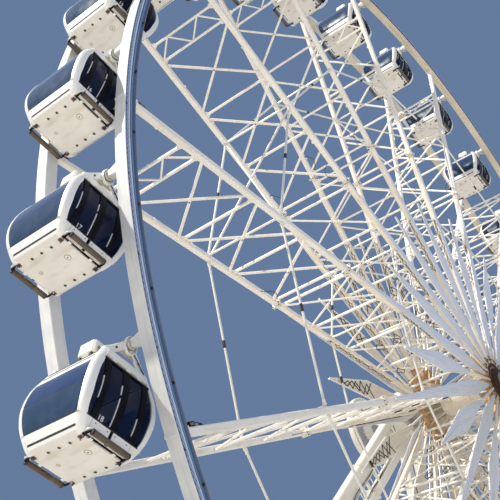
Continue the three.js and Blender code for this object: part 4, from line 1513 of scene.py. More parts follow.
@dataclass
class Spokes:
    """The fifteen lattice spokes with their slim panels, flanges, brackets and lamps."""

    inner: float = 1.0
    outer: float = 17.797
    girder_outer: float = 16.1
    girder_inner: float = 15.56
    flange: float = 9.35
    flange_gap: float = 0.013
    outer_bays: int = 3
    inner_bays: int = 4
    inset: float = 0.17
    brace: float = 0.07
    thin_brace: float = 0.055
    zigzag: float = 0.045
    zigzag_bays: int = 4
    tie_radii: tuple[float, float] = (12.38, 6.45)
    lug_radii: tuple[float, ...] = (16.9, 14.6, 13.2, 11.0, 10.1, 7.6, 5.0, 3.6)
    nets: tuple[tuple[float, float], ...] = ((4.4, 6.6), (2.9, 6.8))
    net_pitch: float = 0.19
    panel: tuple[tuple[float, float], ...] = ((1.0, 0.06), (2.45, 0.27), (8.7, 0.045))
    panel_low: float = 1.3175
    panel_thick: float = 0.045
    shape: Shape = field(default_factory=Shape)

    def chord(self, s: int) -> None:
        """Builds the near or the far chord with its flanges, lugs and end brackets.

        Args:
            s: The side.
        """
        shape = self.shape
        y, gap = s * CHORD_Y, self.flange_gap
        cream, dark = Finish.FRAME_CREAM, Finish.RUSTY_IRON
        for start, end, finish in ((self.inner, self.flange - gap, Finish.FRAME_STAINED),
                (self.flange + gap, self.outer, cream)):
            shape.bar((start, y, 0), (end, y, 0), CHORD_SIZE, CHORD_SIZE, Z, finish, 0.022)
        for sign in (-1, 1):
            x = self.flange + sign * gap
            shape.block((x, y - 0.135, -0.135), (x + sign * 0.024, y + 0.135, 0.135), cream, 0.006, 0.35)
            for a in (-0.105, 0.105):
                for b in (-0.105, 0.0, 0.105):
                    shape.rod((x, y + a, b), (x + sign * 0.045, y + a, b), 0.016, dark, 6)
            for b in (-1, 1):
                shape.slab([(0, 0), (sign * 0.16, 0), (0, 0.05)] if sign > 0 else [(0, 0), (0, 0.05),
                    (-0.16, 0)], (x + sign * 0.02, y - 0.006, b * 0.08), X, (0, 0, b), 0, 0.012, cream, 0.002)
        self.lugs(y)
        shape.block((self.inner + 0.002, s * (CHORD_Y - 0.115), -0.105),
            (self.inner + 0.55, s * (CHORD_Y + 0.072), 0.105), Finish.ORANGE_RUST, 0.012, 0.2)
        for x in (self.inner + 0.06, self.inner + 0.15, self.inner + 0.3, self.inner + 0.45):
            for z in (-0.06, 0.06):
                shape.rod((x, s * (CHORD_Y - 0.13), z), (x, s * (CHORD_Y - 0.06), z), 0.018, dark, 6)
        shape.block((self.outer - 0.1, y - 0.11, -0.11), (self.outer, y + 0.11, 0.11), cream, 0.01, 0.25)

    def lugs(self, y: float) -> None:
        """Adds the tie rods' lugs and a few small fixing lugs to a chord.

        Args:
            y: The chord's place along Y.
        """
        half = CHORD_SIZE / 2
        outline = [(-0.1, 0.0), (0.1, 0.0), (0.055, 0.085), (0.02, 0.11), (-0.02, 0.11), (-0.055, 0.085)]
        for radius in self.tie_radii:
            for sign in (-1, 1):
                self.shape.slab(outline, (radius, y + 0.011, sign * (half - 0.004)), X, (0, 0, sign),
                    *sorted((0.0, sign * 0.022)), Finish.FRAME_CREAM, 0.004, 0.3)
        side = -1 if y > 0 else 1
        for radius in self.lug_radii:
            self.shape.block((radius - 0.035, y + side * half, -0.02), (radius + 0.035,
                y + side * (half + 0.055), 0.02), Finish.FRAME_CREAM, 0.008, 0.2)

    def stations(self) -> list[float]:
        """Works out where the struts stand.

        Returns:
            Their radii, from the girder's inner one inwards.
        """
        outer = (self.girder_inner - self.flange) / self.outer_bays
        inner = (self.flange - self.inner) / (self.inner_bays + 0.5)
        return [*(self.girder_inner - index * outer for index in range(self.outer_bays + 1)),
            *(self.flange - index * inner for index in range(1, self.inner_bays + 1))]

    def lattice(self) -> None:
        """Builds the struts, the crossed braces and the girder's zigzag."""
        shape = self.shape
        reach = CHORD_Y - CHORD_SIZE / 2 + 0.01
        cream, up = Finish.FRAME_CREAM, Z
        gusset = [(-0.11, 0.0), (0.11, 0.0), (0.06, 0.12), (-0.06, 0.12)]
        stations = self.stations()
        at_flange = [abs(radius - self.flange) < 1e-6 for radius in stations]
        struts = [self.girder_outer]
        for radius, split in zip(stations, at_flange):
            struts += [radius - 0.175, radius + 0.175] if split else [radius]
        for radius in struts:
            shape.bar((radius, -reach, 0), (radius, reach, 0), self.brace, self.brace, up, cream)
            for s in (-1, 1):
                shape.slab(gusset, (radius, s * reach, -0.006), X, (0, -s, 0), *sorted((0.0, -s * 0.012)),
                    cream, 0.002, 0.25)
        for index, (radius, after) in enumerate(zip(stations, stations[1:])):
            size = self.brace if index < self.outer_bays else self.thin_brace
            start = radius - self.inset - 0.1 * at_flange[index]
            end = after + self.inset + 0.1 * at_flange[index + 1]
            for lift, turn in ((size * 0.5, 1), (-size * 0.5, -1)):
                shape.bar((start, -reach * turn, lift), (end, reach * turn, lift), size, size * 0.8, up,
                    cream, 0.008)
            middle = (start + end) / 2
            shape.rod((middle, 0, -size), (middle, 0, size), 0.022, Finish.RUSTY_IRON, 8)
        for radius in self.tie_radii:
            shape.rod((radius, -CHORD_Y, -0.107), (radius, CHORD_Y, -0.107), 0.032, Finish.FRAME_WHITE, 10)
        levels = np.linspace(-reach, reach, self.zigzag_bays + 1)
        pair = (self.girder_inner, self.girder_outer)
        for index, (y, after) in enumerate(zip(levels, levels[1:])):
            shape.bar((pair[index % 2], y, 0), (pair[(index + 1) % 2], after, 0), self.zigzag, self.zigzag,
                up, cream, 0.006)

    def lamps(self, s: int) -> None:
        """Builds the lamp unit near the rim and the loose wires of one chord.

        Args:
            s: The chord's side.
        """
        shape = self.shape
        rubber = Finish.BLACK_RUBBER
        y = s * CHORD_Y
        shape.block((17.42, y - 0.05, -0.185), (17.6, y + 0.05, -0.08), Finish.BLACK_PAINT, 0.012)
        shape.block((17.45, y - 0.053, -0.165), (17.57, y + 0.053, -0.105), Finish.LAMP_AMBER, 0.004)
        shape.rod((17.22, y, -0.08), (17.22, y, -0.14), 0.032, rubber, 10, 0.005)
        for wire in ([(17.42, y, -0.14), (17.34, y, -0.16), (17.22, y, -0.135), (17.12, y, -0.09)],
                [(17.6, y, -0.15), (17.68, y, -0.19), (17.75, y, -0.16), (17.79, y, -0.08)]):
            shape.cable(wire, 4, 0.01, 6, Y, rubber)
        line = [(x, s * (CHORD_Y - inward), z) for x, inward, z in ((9.6, 0.2, 0.05), (9.75, 0.33, 0.07),
            (9.95, 0.36, 0.06), (10.12, 0.22, 0.05), (10.2, 0.09, 0.04))]
        shape.cable(line, 4, 0.009, 6, Z, rubber)

    def netting(self, s: int, start: float, end: float) -> None:
        """Builds the black cable net on one chord near the hub and the loops on the braces.

        Args:
            s: The chord's side.
            start: The radius where the net starts.
            end: The radius where it ends.
        """
        lift = CHORD_SIZE / 2 + 0.006
        steps = int((end - start) / self.net_pitch)
        for first in (0, 1):
            line = []
            for index in range(steps + 1):
                swing = (0.032 + 0.024 * sin(1.9 * index + s)) * (-1) ** (index + first)
                shift = 0.05 * sin(2.7 * index + first)
                line.append((start + index * self.net_pitch + shift, s * CHORD_Y + swing,
                    lift + 0.012 * first))
            self.shape.swept(line, circle(0.008, 5), Z, Finish.BLACK_RUBBER)
        for radius, y in ((3.3, 0.62), (5.1, 0.3)):
            corners = [(radius - 0.2, s * y, 0.07), (radius, s * (y + 0.15), 0.07),
                (radius + 0.24, s * y, 0.07), (radius, s * (y - 0.13), 0.07)]
            for first, second in zip(corners, corners[1:] + corners[:1]):
                self.shape.rod(first, second, 0.013, Finish.BLACK_RUBBER, 5)

    def build(self) -> None:
        """Builds every spoke."""
        for s, (start, end) in zip((-1, 1), self.nets):
            self.netting(s, start, end)
            self.chord(s)
            kite(self.shape, self.panel, s * self.panel_low, s * (self.panel_low + 0.018),
                s * (self.panel_low + self.panel_thick))
            self.lamps(s)
        self.lattice()
        template = self.shape.mesh("spoke")
        for index in range(SPOKE_COUNT):
            place = about_axle(FIRST_SPOKE_ANGLE + index * SPOKE_STEP)
            stand_in(f"spoke_{index + 1:02d}", template, place, "wheel", Slot.FRAME)
        bpy.data.meshes.remove(template)


@dataclass
class TieRods:
    """The rods between neighbouring spokes in two rings, and crossed ones in every third wedge."""

    radii: tuple[float, float] = (12.38, 6.45)
    radius: float = 0.034
    sleeve_share: float = 0.51
    crossing: float = 0.045
    crossed_every: int = 3

    def tip(self, radius: float, y: float, sign: int) -> np.ndarray:
        """Where a rod meets a spoke's chord.

        Args:
            radius: Its distance from the axle.
            y: Its place along the axle.
            sign: -1 or 1 for the spoke before or after the wedge.

        Returns:
            The point, for a wedge about +X.
        """
        half = radians(SPOKE_STEP / 2)
        inward = np.array([sin(half), 0.0, -sign * cos(half)])
        return np.array([radius * cos(half), y, sign * radius * sin(half)]) + inward * (CHORD_SIZE / 2 + 0.05)

    def build(self) -> None:
        """Builds the rods, their turnbuckle sleeves and their fork ends."""
        rods, sleeves, forks, crossed = Shape(), Shape(), Shape(), Shape()
        white, cream = Finish.FRAME_WHITE, Finish.FRAME_CREAM
        pin = np.array([0.0, 0.055, 0.0])
        for radius in self.radii:
            for y in (-CHORD_Y, CHORD_Y):
                start, end = self.tip(radius, y, -1), self.tip(radius, y, 1)
                along = unit(end - start)
                middle = end + (start - end) * self.sleeve_share
                rods.rod(start, end, self.radius, white, 10)
                sleeves.rod(middle - along * 0.11, middle + along * 0.11, self.radius + 0.007,
                    Finish.BLACK_PAINT, 8, 0.01)
                for tip, inward in ((start, along), (end, -along)):
                    forks.rod(tip, tip + inward * 0.14, self.radius + 0.01, cream, 8, 0.01)
                    forks.rod(tip + inward * 0.02 - pin, tip + inward * 0.02 + pin, 0.018, Finish.RUSTY_IRON,
                        6)
        for s in (-1, 1):
            radius, y = self.radii[0] + s * self.crossing, CHORD_Y - 0.06
            crossed.rod(self.tip(radius, y, -s), self.tip(radius, -y, s), self.radius, white, 10)
        for label, shape, finish in (("rods", rods, white), ("sleeves", sleeves, Finish.BLACK_RUBBER),
                ("forks", forks, cream)):
            spun(f"tie_{label}", shape, finish, SPOKE_COUNT, FIRST_WEDGE_ANGLE)
        spun("tie_crossed", crossed, white, SPOKE_COUNT // self.crossed_every, FIRST_WEDGE_ANGLE + SPOKE_STEP)


@dataclass
class Star:
    """The ring beside one hub flange and the slim panels between the spokes."""

    place: str
    sign: int
    low: float = 1.3053
    thick: float = 0.07
    ring_outer: float = 0.958
    ring_inner: float = 0.54
    bolt_circle: float = 0.86
    back_share: float = 0.94
    stations: tuple[tuple[float, float], ...] = ((2.3, 0.04), (4.5, 0.33), (6.95, 0.012))
    net: tuple[tuple[float, float, int], ...] = ((4.3, 0.3, 1), (4.7, 0.28, -1), (5.0, 0.24, 1),
        (5.3, 0.2, -1), (5.6, 0.16, 1), (5.9, 0.12, -1), (6.2, 0.08, 1))

    def wedges(self) -> None:
        """Builds the panels between the spokes with their backs, frames, nets and arms."""
        s = self.sign
        cream, rubber = Finish.FRAME_CREAM, Finish.BLACK_RUBBER
        panel, arm, backs, frames, nets = (Shape() for _ in range(5))
        kite(panel, self.stations, s * (self.low + 0.012), s * (self.low + 0.032),
            s * (self.low + self.thick - 0.006))
        middle = s * (self.low + self.thick / 2)
        arm.bar((self.ring_inner + 0.2, middle, 0), (2.42, middle, 0), 0.08, self.thick - 0.01, Y, cream,
            0.008, 0.3)
        arm.block((2.26, middle - 0.04, -0.07), (2.34, middle + 0.04, 0.07), cream, 0.006, 0.4)
        back = s * (self.low + 0.006)
        sheet = [(radius, half * self.back_share) for radius, half in self.stations]
        outline = [(radius, -half) for radius, half in sheet] + sheet[::-1]
        backs.slab(outline if s < 0 else outline[::-1], (0, back, 0), X, Z, -0.004, 0.004, Finish.CREAM_SHEET,
            0.0)
        for (start, before), (end, after) in zip(sheet, sheet[1:]):
            for side in (-1, 1):
                frames.bar((start, back, side * before), (end, back, side * after), 0.045, 0.024, Y, cream,
                    0.004)
        for first in (-1, 1):
            line = [(radius + 0.07 * sin(5 * radius * first), back - s * 0.014,
                first * turn * reach * (0.8 + 0.14 * sin(9 * radius))) for radius, reach, turn in self.net]
            nets.swept(line, circle(0.012, 5), Y, rubber)
        for label, shape, finish in (("panels", panel, Finish.RIBBED_PANEL),
                ("backs", backs, Finish.CREAM_SHEET), ("frames", frames, cream), ("nets", nets, rubber),
                ("arms", arm, cream)):
            nodes = (f"{self.place}_star",) if label == "panels" else ()
            spun(f"{self.place}_star_{label}", shape, finish, SPOKE_COUNT, FIRST_WEDGE_ANGLE, *nodes,
                slot=Slot.PANEL)

    def build(self) -> None:
        """Builds the panels, the ring and its bolts."""
        self.wedges()
        s, outer, inner = self.sign, self.ring_outer, self.ring_inner
        near, far = s * self.low, s * (self.low + 0.05)
        rust = Finish.RUSTY_IRON
        ring, bolt = Shape(), Shape()
        ring.hoop([(outer - 0.006, near), (outer, near + s * 0.006), (outer, far - s * 0.006),
            (outer - 0.006, far), (inner, far), (inner, near)], Finish.ORANGE_RUST, 90, 0.45)
        ring.hoop([(0.72, far - s * 0.002), (0.72, far + s * 0.016), (0.6, far + s * 0.016),
            (0.6, far - s * 0.002)], rust, 60)
        ring.settle(f"{self.place}_star_ring", "wheel", Slot.PANEL)
        for rise, radius, sides in ((0.03, 0.026, 6), (0.006, 0.038, 10)):
            bolt.rod((self.bolt_circle, far - s * 0.01, 0), (self.bolt_circle, far + s * rise, 0), radius,
                rust, sides)
        spun(f"{self.place}_star_bolts", bolt, rust, CABIN_COUNT, FIRST_SPOKE_ANGLE + CABIN_STEP / 2,
            slot=Slot.PANEL)


def both_ways(half: Sequence[tuple], loop: bool) -> tuple[list[tuple], list[Finish]]:
    """Mirrors half a profile, from the middle out, to the -Y side.

    Args:
        half: Its steps as radius, place along Y, and the finish from there to the next one.
        loop: Whether the whole profile is a loop, and not open from the -Y end to the +Y end.

    Returns:
        The whole profile's points, and the finish of each of its sides.
    """
    ahead = [(radius, y) for radius, y, _ in half]
    mirrored = [(radius, -y) for radius, y in reversed(ahead)]
    out = [finish for _, _, finish in half[:-1]]
    if loop:
        return ahead + mirrored, [*out, half[-1][2], *out[::-1], half[0][2]]
    return mirrored + ahead, [*out[::-1], half[0][2], *out]


@dataclass
class Hub:
    """The drum on the axle with a spoke flange at each end."""

    drum: float = 0.52
    bore: float = 0.212
    half_length: float = 1.5
    flange_low: float = 1.165
    flange_high: float = 1.305
    flange_radius: float = 0.998

    def build(self) -> None:
        """Builds the drum, its flanges and ribs."""
        dark, rust = Finish.RUSTY_IRON, Finish.ORANGE_RUST
        cream, worn = Finish.FRAME_STAINED, Finish.GRIMY_CREAM
        drum, low, high, wide = self.drum, self.flange_low, self.flange_high, self.flange_radius
        # The rusty iron from the flange's outer face round the drum's end to the bore is partly rust and
        # partly painted shade on the hub's outer end.
        profile, finishes = both_ways([(drum, 0.3, cream), (drum + 0.03, 0.31, cream),
            (drum + 0.03, 0.36, cream), (drum, 0.37, cream), (drum, low - 0.45, worn),
            (drum, low - 0.16, worn), (0.7, low, rust), (wide - 0.01, low, rust), (wide, low + 0.01, rust),
            (wide, high - 0.01, rust), (wide - 0.01, high, dark), (drum, high, dark), (drum, 1.44, dark),
            (drum - 0.06, self.half_length, dark), (self.bore, self.half_length, dark)], True)
        shape, rib = Shape(), Shape()
        shape.hoop(profile, finishes, 60, 0.2)
        shape.settle("hub_drum", "wheel", Slot.FRAME, "hub")
        outline = [(drum - 0.02, 0.0), (drum - 0.02, -0.55), (drum + 0.05, -0.55), (0.95, 0.0)]
        for s in (-1, 1):
            rib.slab(outline[::-s], (0, s * (low + 0.004), -0.012 * s), X, (0, s, 0), 0, 0.024, cream, 0.003,
                0.25)
        spun("hub_ribs", rib, cream, SPOKE_COUNT, FIRST_WEDGE_ANGLE)


@dataclass
class Axle:
    """The fixed shaft with its collars and the dished, ribbed disc on each outer end."""

    radius: float = 0.2
    collar: float = 0.33
    collar_in: float = 1.5006
    collar_out: float = 1.6606
    disc: float = 1.3
    disc_in: float = 3.94
    disc_out: float = 4.12
    dish: float = 0.12
    rim: float = 0.2

    def build(self) -> None:
        """Builds the shaft and its discs."""
        grey, lilac, white = Finish.STEEL_GREY, Finish.DISC_LILAC, Finish.FRAME_WHITE
        collar, near, far = self.collar, self.collar_in, self.collar_out
        disc, back, front = self.disc, self.disc_in, self.disc_out
        face = front - self.dish
        profile, finishes = both_ways([(self.radius, near, grey), (collar - 0.012, near, grey),
            (collar, near + 0.012, grey), (collar, far - 0.012, grey), (collar - 0.012, far, grey),
            (self.radius, far, grey), (self.radius, back - 0.2, white), (0.46, back - 0.03, white),
            (0.5, back, lilac), (disc - 0.16, back, lilac), (disc - 0.15, back - 0.02, white),
            (disc - 0.015, back - 0.02, white), (disc, back - 0.005, white), (disc, front - 0.02, white),
            (disc - 0.02, front, white), (disc - 0.08, front, white), (disc - self.rim, face, lilac),
            (0.55, face, white), (0.5, face + 0.05, white), (0.12, face + 0.07, white)], False)
        shape, rib, bolt = Shape(), Shape(), Shape()
        shape.turned(profile, AXLE_CENTRE, finishes, 60)
        shape.settle("axle_shaft", "support", Slot.STEEL, "axle")
        for s in (-1, 1):
            outline = [(0.48, s * (back - 0.035)), (0.48, s * (back + 0.004)),
                (disc - 0.15, s * (back + 0.004)), (disc - 0.15, s * (back - 0.02))]
            rib.slab(outline[::-s], (0, 0, 0.011), X, Y, -0.022, 0.0, lilac, 0.002)
            rib.block((0.56, min(s * face - 0.002, s * (face + 0.035)), -0.012),
                (disc - self.rim - 0.01, max(s * face, s * (face + 0.035)), 0.012), lilac, 0.003)
            bolt.rod((disc - 0.085, s * (back - 0.022), 0), (disc - 0.085, s * (back - 0.042), 0), 0.02,
                Finish.GALVANISED, 6)
        spun("disc_ribs", rib, lilac, 24, 0.0, body="support", slot=Slot.STEEL)
        spun("disc_bolts", bolt, Finish.GALVANISED, 36, 5.0, body="support", slot=Slot.STEEL)


@dataclass
class Leg:
    """One leg: two box chords with rungs, plates and diagonals, and on the left a ladder and cables."""

    place: str
    side: int
    away: int
    lean: float = tan(radians(28))
    splay: float = tan(radians(7.5))
    start_y: float = 2.45
    base_top: float = 0.7003
    head_foot: float = 20.5997
    half: float = 0.5
    chord: float = 0.3
    brace: float = 0.1
    plate: float = 0.06
    bays: int = 8
    top_bay: float = 1.3
    rung_step: float = 0.3
    cable_steps: int = 40
    shape: Shape = field(default_factory=Shape)

    def __post_init__(self) -> None:
        """Works out the leg's own directions."""
        direction = np.array([self.side * self.lean, self.away * self.splay, -1.0])
        self.length = (HUB_HEIGHT - self.base_top) * float(np.linalg.norm(direction))
        self.down = unit(direction)
        self.across = unit((1.0, 0.0, self.side * self.lean))
        self.facing = np.cross(self.down, self.across)
        if self.facing[1] * self.away < 0:
            self.facing = -self.facing

    def at(self, distance: float, offset: float, out: float = 0.0) -> np.ndarray:
        """A point of the leg.

        Args:
            distance: How far down from the hub's level.
            offset: How far across from the middle line.
            out: How far outwards from the leg's plane.

        Returns:
            The point.
        """
        origin = np.array([0.0, self.away * self.start_y, HUB_HEIGHT])
        return origin + self.down * distance + self.across * offset + self.facing * out

    def member(self, start: Point, end: Point, width: float, height: float, chamfer: float = 0.01) -> None:
        """Adds a bar between two points, each as distance, offset and out."""
        self.shape.bar(self.at(*start), self.at(*end), width, height, self.facing, Finish.FRAME_WHITE,
            chamfer)

    def chord_ring(self, offset: float, height: float, grow: float = 0.0) -> list[np.ndarray]:
        """A level section through a chord.

        Args:
            offset: The chord's place across the leg.
            height: The level.
            grow: How much wider than the chord it is.

        Returns:
            Its points.
        """
        ring = []
        for a, b in oblong(self.chord + grow, self.chord + grow, 0.03):
            point = self.at(0.0, offset + a, b)
            ring.append(point + self.down * ((height - point[2]) / self.down[2]))
        return ring

    def frame(self) -> None:
        """Builds the chords, rungs, diagonals and plates."""
        shape = self.shape
        white = Finish.FRAME_WHITE
        step = (self.length - self.top_bay) / self.bays
        for offset in (-self.half, self.half):
            shape.loft([self.chord_ring(offset, self.head_foot), self.chord_ring(offset, self.base_top)],
                white)
            shape.loft([self.chord_ring(offset, self.base_top + rise, 0.18) for rise in (0.03, 0.0)], white,
                0.2)
            for index in range(1, self.bays):
                for shift in (-0.018, 0.018):
                    centre = self.at(self.top_bay + index * step + shift, offset)
                    shape.bar(centre - self.down * 0.014, centre + self.down * 0.014, self.chord + 0.09,
                        self.chord + 0.09, self.facing, white, 0.01, 0.2)
        reach = self.half - self.chord / 2 + 0.01
        for index in range(self.bays):
            near = self.top_bay + index * step
            far = near + step
            self.member((near, -reach), (near, reach), self.brace, self.brace)
            if index % 2 == 0 and self.side > 0:
                self.member((near, -reach), (far, reach), self.brace, self.brace)
                self.member(((near + far) / 2, -reach), ((near + far) / 2, reach), 0.07, 0.07)
            else:
                self.plated_bay(near, far, reach)

    def plated_bay(self, near: float, far: float, reach: float) -> None:
        """Builds a bay's cover plate with its stiffeners.

        Args:
            near: Where the bay starts.
            far: Where it ends.
            reach: Half the width between the chords.
        """
        edge = reach if self.side > 0 else -0.05
        middle, half = (edge - reach) / 2, (edge + reach) / 2
        self.member((near + 0.05, middle), (far - 0.05, middle), 2 * half, self.plate)
        level, flat = self.plate / 2 + 0.012, self.plate / 2 + 0.008
        for share in (0.25, 0.5, 0.75):
            distance = near + (far - near) * share
            for out in (-level, level):
                self.member((distance, -reach, out), (distance, edge, out), 0.05, 0.024, 0.006)
        for offset in (middle - half / 2, middle + half / 2):
            for out in (-flat, flat):
                self.member((near + 0.08, offset, out), (far - 0.08, offset, out), 0.035, 0.016, 0.004)

    def ladder(self) -> None:
        """Builds the ladder and the cables clipped beside it."""
        offsets = (-0.02, 0.27)
        out = -(0.5 * self.brace + 0.012)
        start, end = self.top_bay + 0.3, self.length - 0.6
        for offset in offsets:
            self.member((start, offset, out), (end, offset, out), 0.03, 0.05, 0.006)
        rung = Shape()
        rung.rod(self.across * offsets[0], self.across * offsets[1], 0.022, Finish.FRAME_WHITE, 8)
        lined(f"{self.place}_rungs", rung, Finish.FRAME_WHITE, Slot.FRAME,
            int((end - start) / self.rung_step), self.at(start + 0.15, 0, out), self.down * self.rung_step)
        lines = []
        for number, offset in enumerate((-0.1, 0.3, 0.33)):
            line = []
            for step in range(self.cable_steps + 1):
                distance = 1.4 + (self.length - 2.6) * step / self.cable_steps
                sway = (0.03 - 0.009 * number) * sin(1.7 * step + number)
                line.append(self.at(distance, offset + sway, -(0.5 * self.plate + 0.04)))
            lines.append(smooth_path(line, 3))
        for turn in (-1, 1):
            lines.append([self.at(0.95 + 0.17 * index, turn * (0.3 if index % 2 else -0.3), -0.04 * turn)
                for index in range(6)])
        piped(f"{self.place}_cables", lines, 0.013, 6, Finish.BLACK_RUBBER, Slot.FRAME)

    def build(self) -> None:
        """Builds the leg."""
        self.frame()
        if self.side < 0:
            self.ladder()
        self.shape.settle(f"{self.place}_leg_dressed", "support", Slot.FRAME, f"{self.place}_leg")


@dataclass
class Head:
    """The block on top of a pair of legs that holds the axle, with its bearing cap and ribs."""

    place: str
    sign: int
    middle_y: float = 2.45
    half_height: float = 0.7
    foot_half: float = 1.15
    top_half: float = 0.65
    thick: float = 0.62
    bolt_circle: float = 0.38

    def build(self) -> None:
        """Builds the head."""
        shape = Shape()
        white = Finish.FRAME_WHITE
        y, h, half = self.sign * self.middle_y, self.half_height, self.thick / 2
        foot, hub = self.foot_half, HUB_HEIGHT
        outline = [(-foot, -h), (foot, -h), (self.top_half, h), (-self.top_half, h)]
        shape.slab(outline, (0, y, hub), X, Z, -half, half, white, 0.02)
        small = inset(outline, 0.07)
        for s in (-1, 1):
            face = y + s * half
            shape.turned([(0.46, -s * 0.01), (0.46, s * 0.04), (0.43, s * 0.055), (0.3, s * 0.055),
                (0.27, s * 0.03), (0.205, s * 0.03)], (0.0, face, hub), Finish.STEEL_GREY, 40)
            for x, z in circle(self.bolt_circle, 8):
                shape.rod((x, face + s * 0.05, hub + z), (x, face + s * 0.075, hub + z), 0.024,
                    Finish.GALVANISED, 6)
            for (x, z), (a, b) in zip(small, small[1:] + small[:1]):
                shape.bar((x, face, hub + z), (a, face, hub + b), 0.05, 0.05, Y, white)
            for sign in (-1, 1):
                shape.bar((sign * 0.44, face, hub - 0.36), (sign * 0.86, face, hub - 0.62), 0.05, 0.06, Y,
                    white)
        shape.block((-foot - 0.05, y - half - 0.05, hub - h - 0.03), (foot + 0.05, y + half + 0.05,
            hub - h + 0.02), white)
        shape.settle(f"{self.place}_head_dressed", "support", Slot.FRAME, f"{self.place}_head")


@dataclass
class BaseBeam:
    """The beam under one pair of legs with its flanges, stiffeners and screw feet."""

    place: str
    low: Vector
    high: Vector
    half: float = 0.3
    foot: float = 0.9
    foot_height: float = 0.2
    stiffeners: int = 34

    def build(self) -> None:
        """Builds the beam."""
        shape, stiffener = Shape(), Shape()
        grey, zinc = Finish.BASE_GREY, Finish.GALVANISED
        y, half = (self.low.y + self.high.y) / 2, self.half
        reach, top, low = self.high.x, self.high.z, self.foot_height
        for level in (low, top - 0.035):
            shape.block((-reach, y - half, level), (reach, y + half, level + 0.035), grey, 0.006)
        for side in (-1, 1):
            face = y + side * (half - 0.05)
            shape.block((-reach + 0.01, face - 0.015, low + 0.02), (reach - 0.01, face + 0.015, top - 0.02),
                grey, 0.004)
        for x in (-reach, reach - 0.02):
            shape.block((x, y - half, low), (x + 0.02, y + half, top), grey, 0.005)
        f = self.foot / 2
        for x in (-reach + f, 0.0, reach - f):
            shape.block((x - f, y - f, 0.0), (x + f, y + f, 0.045), grey)
            shape.block((x - f * 0.7, y - f * 0.7, 0.04), (x + f * 0.7, y + f * 0.7, 0.075), grey)
            shape.rod((x, y, 0.05), (x, y, low + 0.02), 0.11, zinc, 24)
            for level in (0.09, 0.115, 0.14, 0.165):
                shape.rod((x, y, level), (x, y, level + 0.01), 0.122, zinc, 24)
        shape.settle(f"{self.place}_base_beam_dressed", "support", Slot.BASE, f"{self.place}_base_beam")
        for side in (-1, 1):
            stiffener.block((-0.01, y + side * half, low + 0.03), (0.01, y + side * (half - 0.05),
                top - 0.03), grey, 0.002)
        lined(f"{self.place}_beam_stiffeners", stiffener, grey, Slot.BASE, self.stiffeners,
            (-reach + 0.15, 0.0, 0.0), ((2 * reach - 0.3) / (self.stiffeners - 1), 0.0, 0.0))


@dataclass
class BoardingDeck:
    """The deck below the lowest cabins with its cross beams, rails and steps."""

    half_length: float = 4.2
    half_width: float = 2.4
    plates: int = 6
    top: float = 0.78
    thick: float = 0.08
    rail_height: float = 1.05
    rail_y: float = 2.34
    rail_end: float = 1.15
    post_step: float = 0.72

    def deck(self, beam_reach: float) -> None:
        """Builds the plates and the cross beams.

        Args:
            beam_reach: Where the cross beams end.
        """
        shape = Shape()
        grey = Finish.BASE_GREY
        x, y, top = self.half_length, self.half_width, self.top
        step = 2 * x / self.plates
        foot = top - self.thick
        for index in range(self.plates):
            low = -x + index * step
            for side in (-1, 1):
                shape.block((low + 0.004, side * 0.004, top - 0.02), (low + step - 0.004, side * (y - 0.004),
                    top), Finish.DECK_TREAD, 0.003)
        shape.block((-x, -y, foot), (x, y, top - 0.02), grey, 0.006)
        for place in (-x + 0.3, 0.0, x - 0.3):
            for half, low, high, chamfer in ((0.15, foot - 0.28, foot - 0.258, 0.004),
                    (0.15, foot - 0.02, foot + 0.002, 0.004), (0.012, foot - 0.27, foot, 0.003)):
                shape.block((place - half, -beam_reach, low), (place + half, beam_reach, high), grey, chamfer)
        shape.settle("deck_plates", "support", Slot.BASE, "boarding_deck")

    def rails(self) -> None:
        """Builds the rails and their posts."""
        zinc = Finish.GALVANISED
        top, x = self.top, self.half_length - 0.06
        heights = (top + self.rail_height, top + self.rail_height * 0.52)
        lines = []
        for side in (-1, 1):
            y, end_y = side * self.rail_y, side * self.rail_end
            lines += [[(-x, y, z), (x, y, z)] for z in heights]
            for end in (-x, x):
                lines += [[(end, y, z), (end, end_y, z)] for z in heights]
                lines.append([(end, end_y, top), (end, end_y, heights[0])])
        piped("deck_rails", lines, 0.024, 12, zinc, Slot.BASE)
        post = Shape()
        for y in (-self.rail_y, self.rail_y):
            post.rod((0, y, top), (0, y, heights[0]), 0.022, zinc, 10)
            post.block((-0.06, y - 0.06, top), (0.06, y + 0.06, top + 0.012), zinc, 0.003)
        count = int(2 * x / self.post_step) + 1
        lined("deck_posts", post, zinc, Slot.BASE, count, (-x, 0.0, 0.0), (2 * x / (count - 1), 0.0, 0.0))

    def build(self, beam_reach: float) -> None:
        """Builds the deck between the base beams' inner sides, and its rails."""
        self.deck(beam_reach)
        self.rails()


